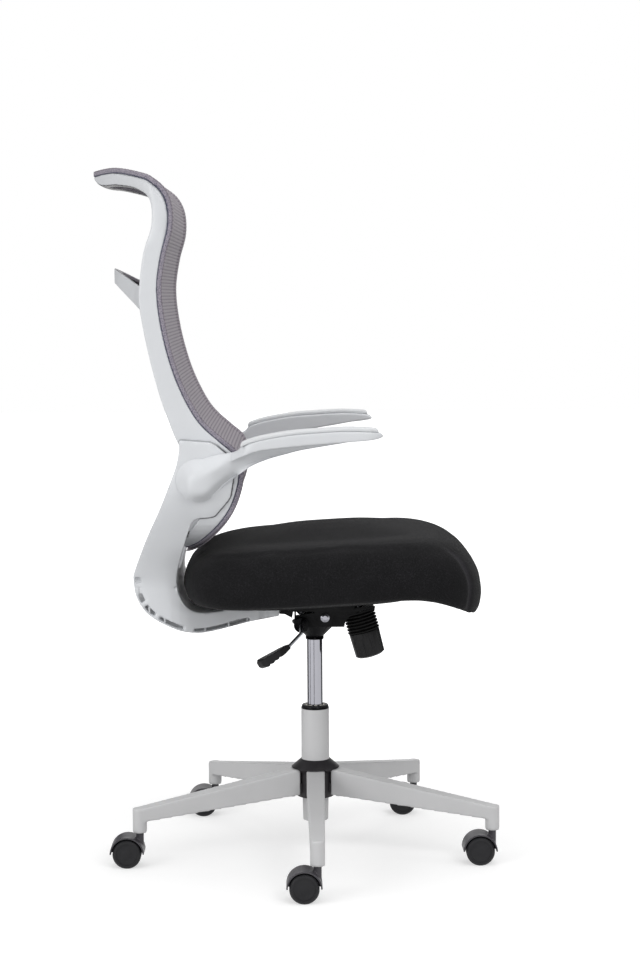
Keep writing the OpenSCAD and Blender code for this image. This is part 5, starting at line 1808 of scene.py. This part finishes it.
@dataclass
class Mechanism(Assembly):
    """Tilt mechanism, lever, knob and the sleeve over the spring.

    Attributes:
        materials: finishes.
        fold: depth on the knob's axis where sleeve and spring change from one joint to the next.
        sleeve_l: length of the sleeve in mm.
        knob_more: how much longer the knob looks than its solid, in mm.
        knob_from: where on its axis that begins, in mm below the seat of the spring.
        paddle_neck: neck of the paddle, as X and Z in mm.
        paddle_end: its far end, as X and Z in mm.
        paddle_from: where it begins to deepen, as a share of its length.
        paddle_swell: how much deeper the paddle is at its far end.
        flange_line: outline of the top plate's side flange, as X and Z in mm.
        flange_y: distance of the flange from the middle in mm.
        flange_t: thickness of the flange in mm.
        flange_r: rounding of its edges in mm.
        flange_angle: edges above this angle are rounded, in radians.
    """

    materials: Materials
    fold: float = 22.0
    sleeve_l: float = 34.7
    knob_more: float = 5.0
    knob_from: float = 45.0
    paddle_neck: tuple[float, float] = (-43.0, 404.0)
    paddle_end: tuple[float, float] = (-96.0, 372.0)
    paddle_from: float = 0.2
    paddle_swell: float = 0.45
    flange_line: Line = (
        (-62.0, 453.0), (-62.0, 438.5), (-52.3, 437.7), (-44.6, 433.5), (-40.0, 431.0),
        (-38.0, 442.0), (66.0, 442.0), (72.0, 453.0))
    flange_y: float = 61.0
    flange_t: float = 2.5
    flange_r: float = 0.5
    flange_angle: float = 0.6

    def build(self) -> None:
        """Make the visible parts of the mechanism."""
        housing = bevelled("housing_casting", "mech_housing", width=1.0, segments=3)
        self.place(housing, "lift", Slot.MECH_BLACK, "mech_housing")
        self.place(bevelled("top_plate", "seat_plate", width=0.8), "tilt", Slot.MECH_BLACK, "seat_plate")
        knob, up = bevelled("knob_grip", "tension_knob", width=0.6), np.array(KNOB_UP)
        points = points_of(knob)
        along = (points - np.array(self.on_axis(0.0))) @ up
        stretch = self.knob_more * MM * ramp_up(-along, self.knob_from * MM, -along.min())
        set_points(knob, points - stretch[:, None] * up)
        self.place(knob, "knob", Slot.BLACK_PLASTIC, "tension_knob")
        paddle = self.moulding("paddle_moulding", "lever_paddle", voxel=0.7, turns=3)
        self.widen(paddle)
        self.place(shade_smooth(paddle), "lever", Slot.BLACK_PLASTIC, "lever_paddle")
        self.place(self.flange(), "tilt", Slot.MECH_BLACK)
        top, middle, end = (self.on_axis(depth) for depth in (0.0, self.fold, self.sleeve_l))
        for name, node, slot in (("sleeve_bellows", "ribbed_sleeve", Slot.RUBBER_BLACK),
                                 ("spring_coil", "tension_spring", Slot.SPRING_STEEL)):
            upper = self.half(f"{name}_top", node, False)
            lower = self.half(f"{name}_low", node, True)
            for piece in (upper, lower):
                self.materials.dress(piece, slot)
                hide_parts(node)
            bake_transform(upper, "lift", "tilt", start=top, end=middle)
            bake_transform(lower, "tilt", "washer", start=middle, end=end)

    def widen(self, paddle: bpy.types.Object) -> None:
        """Deepen the paddle towards its far end.

        Args:
            paddle: the paddle.
        """
        points = points_of(paddle)
        neck, end = np.array(self.paddle_neck) * MM, np.array(self.paddle_end) * MM
        length = np.linalg.norm(end - neck)
        along = (end - neck) / length
        across = np.array((-along[1], along[0]))
        flat = points[:, [0, 2]] - neck
        share = ramp_up(flat @ along, self.paddle_from * length, length)
        more = (flat @ across) * share * self.paddle_swell
        points[:, [0, 2]] += more[:, None] * across
        set_points(paddle, points)

    def flange(self) -> bpy.types.Object:
        """Make the side flanges of the top plate over the lever's boss.

        Returns:
            The piece.
        """
        data = bpy.data.meshes.new("plate_flanges")
        with edited(data) as work:
            for sign in (-1, 1):
                rim = [work.verts.new((x * MM, sign * self.flange_y * MM, z * MM))
                       for x, z in self.flange_line]
                face = work.faces.new(rim)
                grown = bmesh.ops.extrude_face_region(work, geom=[face])
                moved = [v for v in grown["geom"] if isinstance(v, bmesh.types.BMVert)]
                bmesh.ops.translate(work, verts=moved, vec=(0, sign * self.flange_t * MM, 0))
            bmesh.ops.recalc_face_normals(work, faces=work.faces)
            sharp = [e for e in work.edges if e.calc_face_angle(0) > self.flange_angle]
            bmesh.ops.bevel(work, geom=sharp, offset=self.flange_r * MM, segments=2, profile=0.5,
                            affect="EDGES", material=-1)
        return shade_smooth(new_piece("plate_flanges", data), angle=35.0)

    @staticmethod
    def on_axis(depth: float) -> tuple[float, float, float]:
        """Give a point on the knob's axis.

        Args:
            depth: distance below the seat of the spring in mm.

        Returns:
            The point in metres.
        """
        return (KNOB_SEAT[0] - depth * KNOB_UP[0]) * MM, 0.0, (KNOB_SEAT[1] - depth * KNOB_UP[2]) * MM

    def half(self, name: str, node: str, lower: bool) -> bpy.types.Object:
        """Cut a CAD node across the knob's axis, so that each part can fold for one joint.

        Args:
            name: name of the piece.
            node: CAD node.
            lower: which part is kept.

        Returns:
            The piece.
        """
        piece = cad_copy(name, node)
        with edited(piece.data) as work:
            cut = bmesh.ops.bisect_plane(work, geom=[*work.verts, *work.edges, *work.faces],
                                         plane_co=self.on_axis(self.fold), plane_no=KNOB_UP,
                                         clear_inner=not lower, clear_outer=lower)
            rim = [part for part in cut["geom_cut"] if isinstance(part, bmesh.types.BMEdge)]
            bmesh.ops.triangle_fill(work, edges=rim, use_beauty=True)
            bmesh.ops.recalc_face_normals(work, faces=work.faces)
        return shade_smooth(piece, angle=50.0)


class Carried(Assembly):
    """CAD nodes that keep their own shape and get a finish."""

    SLOTS = {
        "leg_screws": Slot.STEEL, "guide_bush": Slot.WHITE_PLASTIC, "thrust_bearing": Slot.STEEL,
        "rod_clip": Slot.STEEL, "piston_rod": Slot.CHROME, "gas_cylinder": Slot.CHROME,
        "release_pin": Slot.STEEL, "pivot_studs": Slot.CHROME, "lever_rod": Slot.STEEL,
        "tension_bolt": Slot.STEEL, "thrust_washer": Slot.STEEL, "seat_screws": Slot.STEEL,
        "support_screws": Slot.STEEL, "frame_screws": Slot.STEEL, "arm_pins": Slot.STEEL,
    }

    def build(self) -> None:
        """Dress every node that is still shown."""
        slots = dict(self.SLOTS)
        for i in CASTERS:
            slots[f"caster_stem_{i}"] = Slot.STEEL
        for node, slot in slots.items():
            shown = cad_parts[node]
            material = self.materials.of(slot)
            if not shown.material_slots:
                shown.data.materials.append(material)
            for place in shown.material_slots:
                place.material = material
            LOG.info("%s: finish %s", node, slot.value)


@dataclass(frozen=True)
class Lamp:
    """A square soft box.

    Attributes:
        name: its name.
        place: where it hangs, in metres.
        size: length of its side in metres.
        power: its power in watts.
    """

    name: str
    place: tuple[float, float, float]
    size: float
    power: float


@dataclass
class Studio:
    """Camera, floor, world, lamps and the cards round the chair.

    Attributes:
        eye: place of the camera in metres.
        right: its right axis.
        up: its up axis.
        ahead: its viewing direction.
        lens: focal length in mm.
        sensor: height of its sensor in mm.
        floor_half: half side of the floor in metres.
        floor_tone: darkest and lightest grey of the floor, as linear values.
        glow_near: white added to the floor under the chair, where its shadow lies.
        glow_from: distances in metres between which that rises to full white.
        world_light: how strongly the world lights the chair.
        lamps: the soft boxes.
        aim: place in metres that they look at.
        cards: place and width of the dark cards in metres.
        card_h: height of the cards in metres.
        card_tone: darkest and lightest grey of the cards, as linear values.
    """

    eye: tuple[float, float, float] = (-0.03012924, -3.6998943, 0.998)
    right: tuple[float, float, float] = (0.99991532, -0.01168065, -0.00573684)
    up: tuple[float, float, float] = (0.00675018, 0.08864911, 0.99604004)
    ahead: tuple[float, float, float] = (0.01112583, 0.99599443, -0.08872045)
    lens: float = 78.40
    sensor: float = 36.0
    floor_half: float = 14.0
    floor_tone: Span = (0.6, 0.62)
    glow_near: float = 0.5
    glow_from: Span = (0.5, 1.5)
    world_light: float = 0.56
    lamps: tuple[Lamp, ...] = (
        Lamp("key", (1.5, -2.8, 2.7), 1.8, 41.0),
        Lamp("fill", (-2.7, -2.2, 1.6), 2.0, 42.0),
        Lamp("top", (0.2, 0.2, 3.4), 2.2, 28.0))
    aim: tuple[float, float, float] = (-0.05, 0.0, 0.6)
    cards: tuple[tuple[float, float, float], ...] = (
        (-0.24, -1.15, 0.14), (0.85, 0.65, 0.9), (-0.85, 0.65, 0.9), (-0.95, -0.35, 0.12))
    card_h: float = 3.0
    card_tone: tuple[Sequence[float], Sequence[float]] = ((0.16, 0.16, 0.17, 1), (0.2, 0.2, 0.21, 1))

    def build(self) -> None:
        """Make the studio."""
        self.camera()
        self.floor()
        self.world()
        self.hang()
        self.flags()

    def camera(self) -> None:
        """Make the camera at the photograph's viewing angle."""
        data = bpy.data.cameras.new("camera")
        data.sensor_fit = "VERTICAL"
        data.sensor_height = self.sensor
        data.lens = self.lens
        data.clip_end = 100.0
        camera = bpy.data.objects.new("camera", data)
        axes = Matrix((self.right, self.up, [-v for v in self.ahead])).transposed().to_4x4()
        camera.matrix_world = Matrix.Translation(self.eye) @ axes
        bpy.context.scene.collection.objects.link(camera)
        bpy.context.scene.camera = camera

    def floor(self) -> None:
        """Make the pale floor, which shows white and keeps the chair's shadow."""
        data = bpy.data.meshes.new("floor")
        with edited(data) as work:
            bmesh.ops.create_grid(work, x_segments=2, y_segments=2, size=self.floor_half)
        piece = new_piece("floor", data)
        shader = Shader("floor_finish")
        low, high = ((tone, tone, tone, 1) for tone in self.floor_tone)
        shader.paint(shader.noise(scale=3.0), (0.3, low), (0.7, high))
        shader.set(Roughness=0.9, Specular_IOR_Level=0.1)
        split = shader.node("ShaderNodeSeparateXYZ")
        shader.link(shader.coords, split.inputs["Vector"])
        square = [shader.math("POWER", shader.math("ABSOLUTE", split.outputs[i]), 2.0) for i in (0, 1)]
        away = shader.math("SQRT", shader.math("ADD", square[0], square[1]))
        glow, add = shader.node("ShaderNodeEmission"), shader.node("ShaderNodeAddShader")
        shader.link(shader.span(away, self.glow_near, 1.0, *self.glow_from), glow.inputs["Strength"])
        plain = shader.bsdf.outputs["BSDF"]
        for socket, source in zip(add.inputs, (plain, glow.outputs["Emission"])):
            shader.link(source, socket)
        shader.link(shader.mixed(shader.shown(), plain, add.outputs["Shader"]),
                    shader.output.inputs["Surface"])
        data.materials.append(shader.material)

    def world(self) -> None:
        """Make the world: white behind the chair, softer as a light."""
        world = bpy.data.worlds.new("studio")
        bpy.context.scene.world = world
        world.use_nodes = True
        nodes = Nodes(world.node_tree)
        output = nodes.node("ShaderNodeOutputWorld")
        light, white = nodes.node("ShaderNodeBackground"), nodes.node("ShaderNodeBackground")
        for made, strength in ((light, self.world_light), (white, 1.0)):
            made.inputs["Strength"].default_value = strength
            made.inputs["Color"].default_value = (1, 1, 1, 1)
        nodes.link(nodes.mixed(nodes.shown(), light.outputs[0], white.outputs[0]),
                   output.inputs["Surface"])

    def flags(self) -> None:
        """Stand dark cards round the chair, which only its bright metal mirrors."""
        shader = Shader("card_finish")
        dark, light = self.card_tone
        shader.paint(shader.noise(scale=5.0), (0.3, dark), (0.7, light))
        shader.set(Roughness=1.0, Specular_IOR_Level=0.0)
        for number, (x, y, width) in enumerate(self.cards):
            data = bpy.data.meshes.new(f"card_{number}")
            turn = Matrix.Rotation(math.atan2(x, -y), 4, "Z") @ Matrix.Rotation(math.pi / 2, 4, "X")
            grow = Matrix.Diagonal((width, self.card_h, 1, 1))
            place = Matrix.Translation((x, y, self.card_h / 2))
            with edited(data) as work:
                bmesh.ops.create_grid(work, x_segments=1, y_segments=1, size=0.5)
                bmesh.ops.transform(work, matrix=place @ turn @ grow, verts=work.verts)
            card = new_piece(f"card_{number}", data)
            data.materials.append(shader.material)
            card.visible_camera = card.visible_diffuse = card.visible_shadow = False
            card.visible_transmission = False

    def hang(self) -> None:
        """Hang the soft boxes."""
        for lamp in self.lamps:
            data = bpy.data.lights.new(lamp.name, "AREA")
            data.shape = "SQUARE"
            data.size = lamp.size
            data.energy = lamp.power
            box = bpy.data.objects.new(lamp.name, data)
            turn = (Vector(self.aim) - Vector(lamp.place)).to_track_quat("-Z", "Y")
            box.matrix_world = Matrix.Translation(lamp.place) @ turn.to_matrix().to_4x4()
            bpy.context.scene.collection.objects.link(box)


def main() -> None:
    """Build the studio and every sub-assembly."""
    logging.basicConfig(level=logging.INFO, format="%(name)s: %(message)s")
    bpy.context.scene.view_settings.view_transform = "Standard"
    Studio().build()
    materials = Materials()
    hoop = Back(materials, BackLine()).build()
    Seat(materials).build()
    Support(materials).build(hoop)
    Arms(materials).build()
    Base(materials).build()
    Casters(materials).build()
    Mechanism(materials).build()
    Carried(materials).build()


if __name__ == "__main__":
    main()
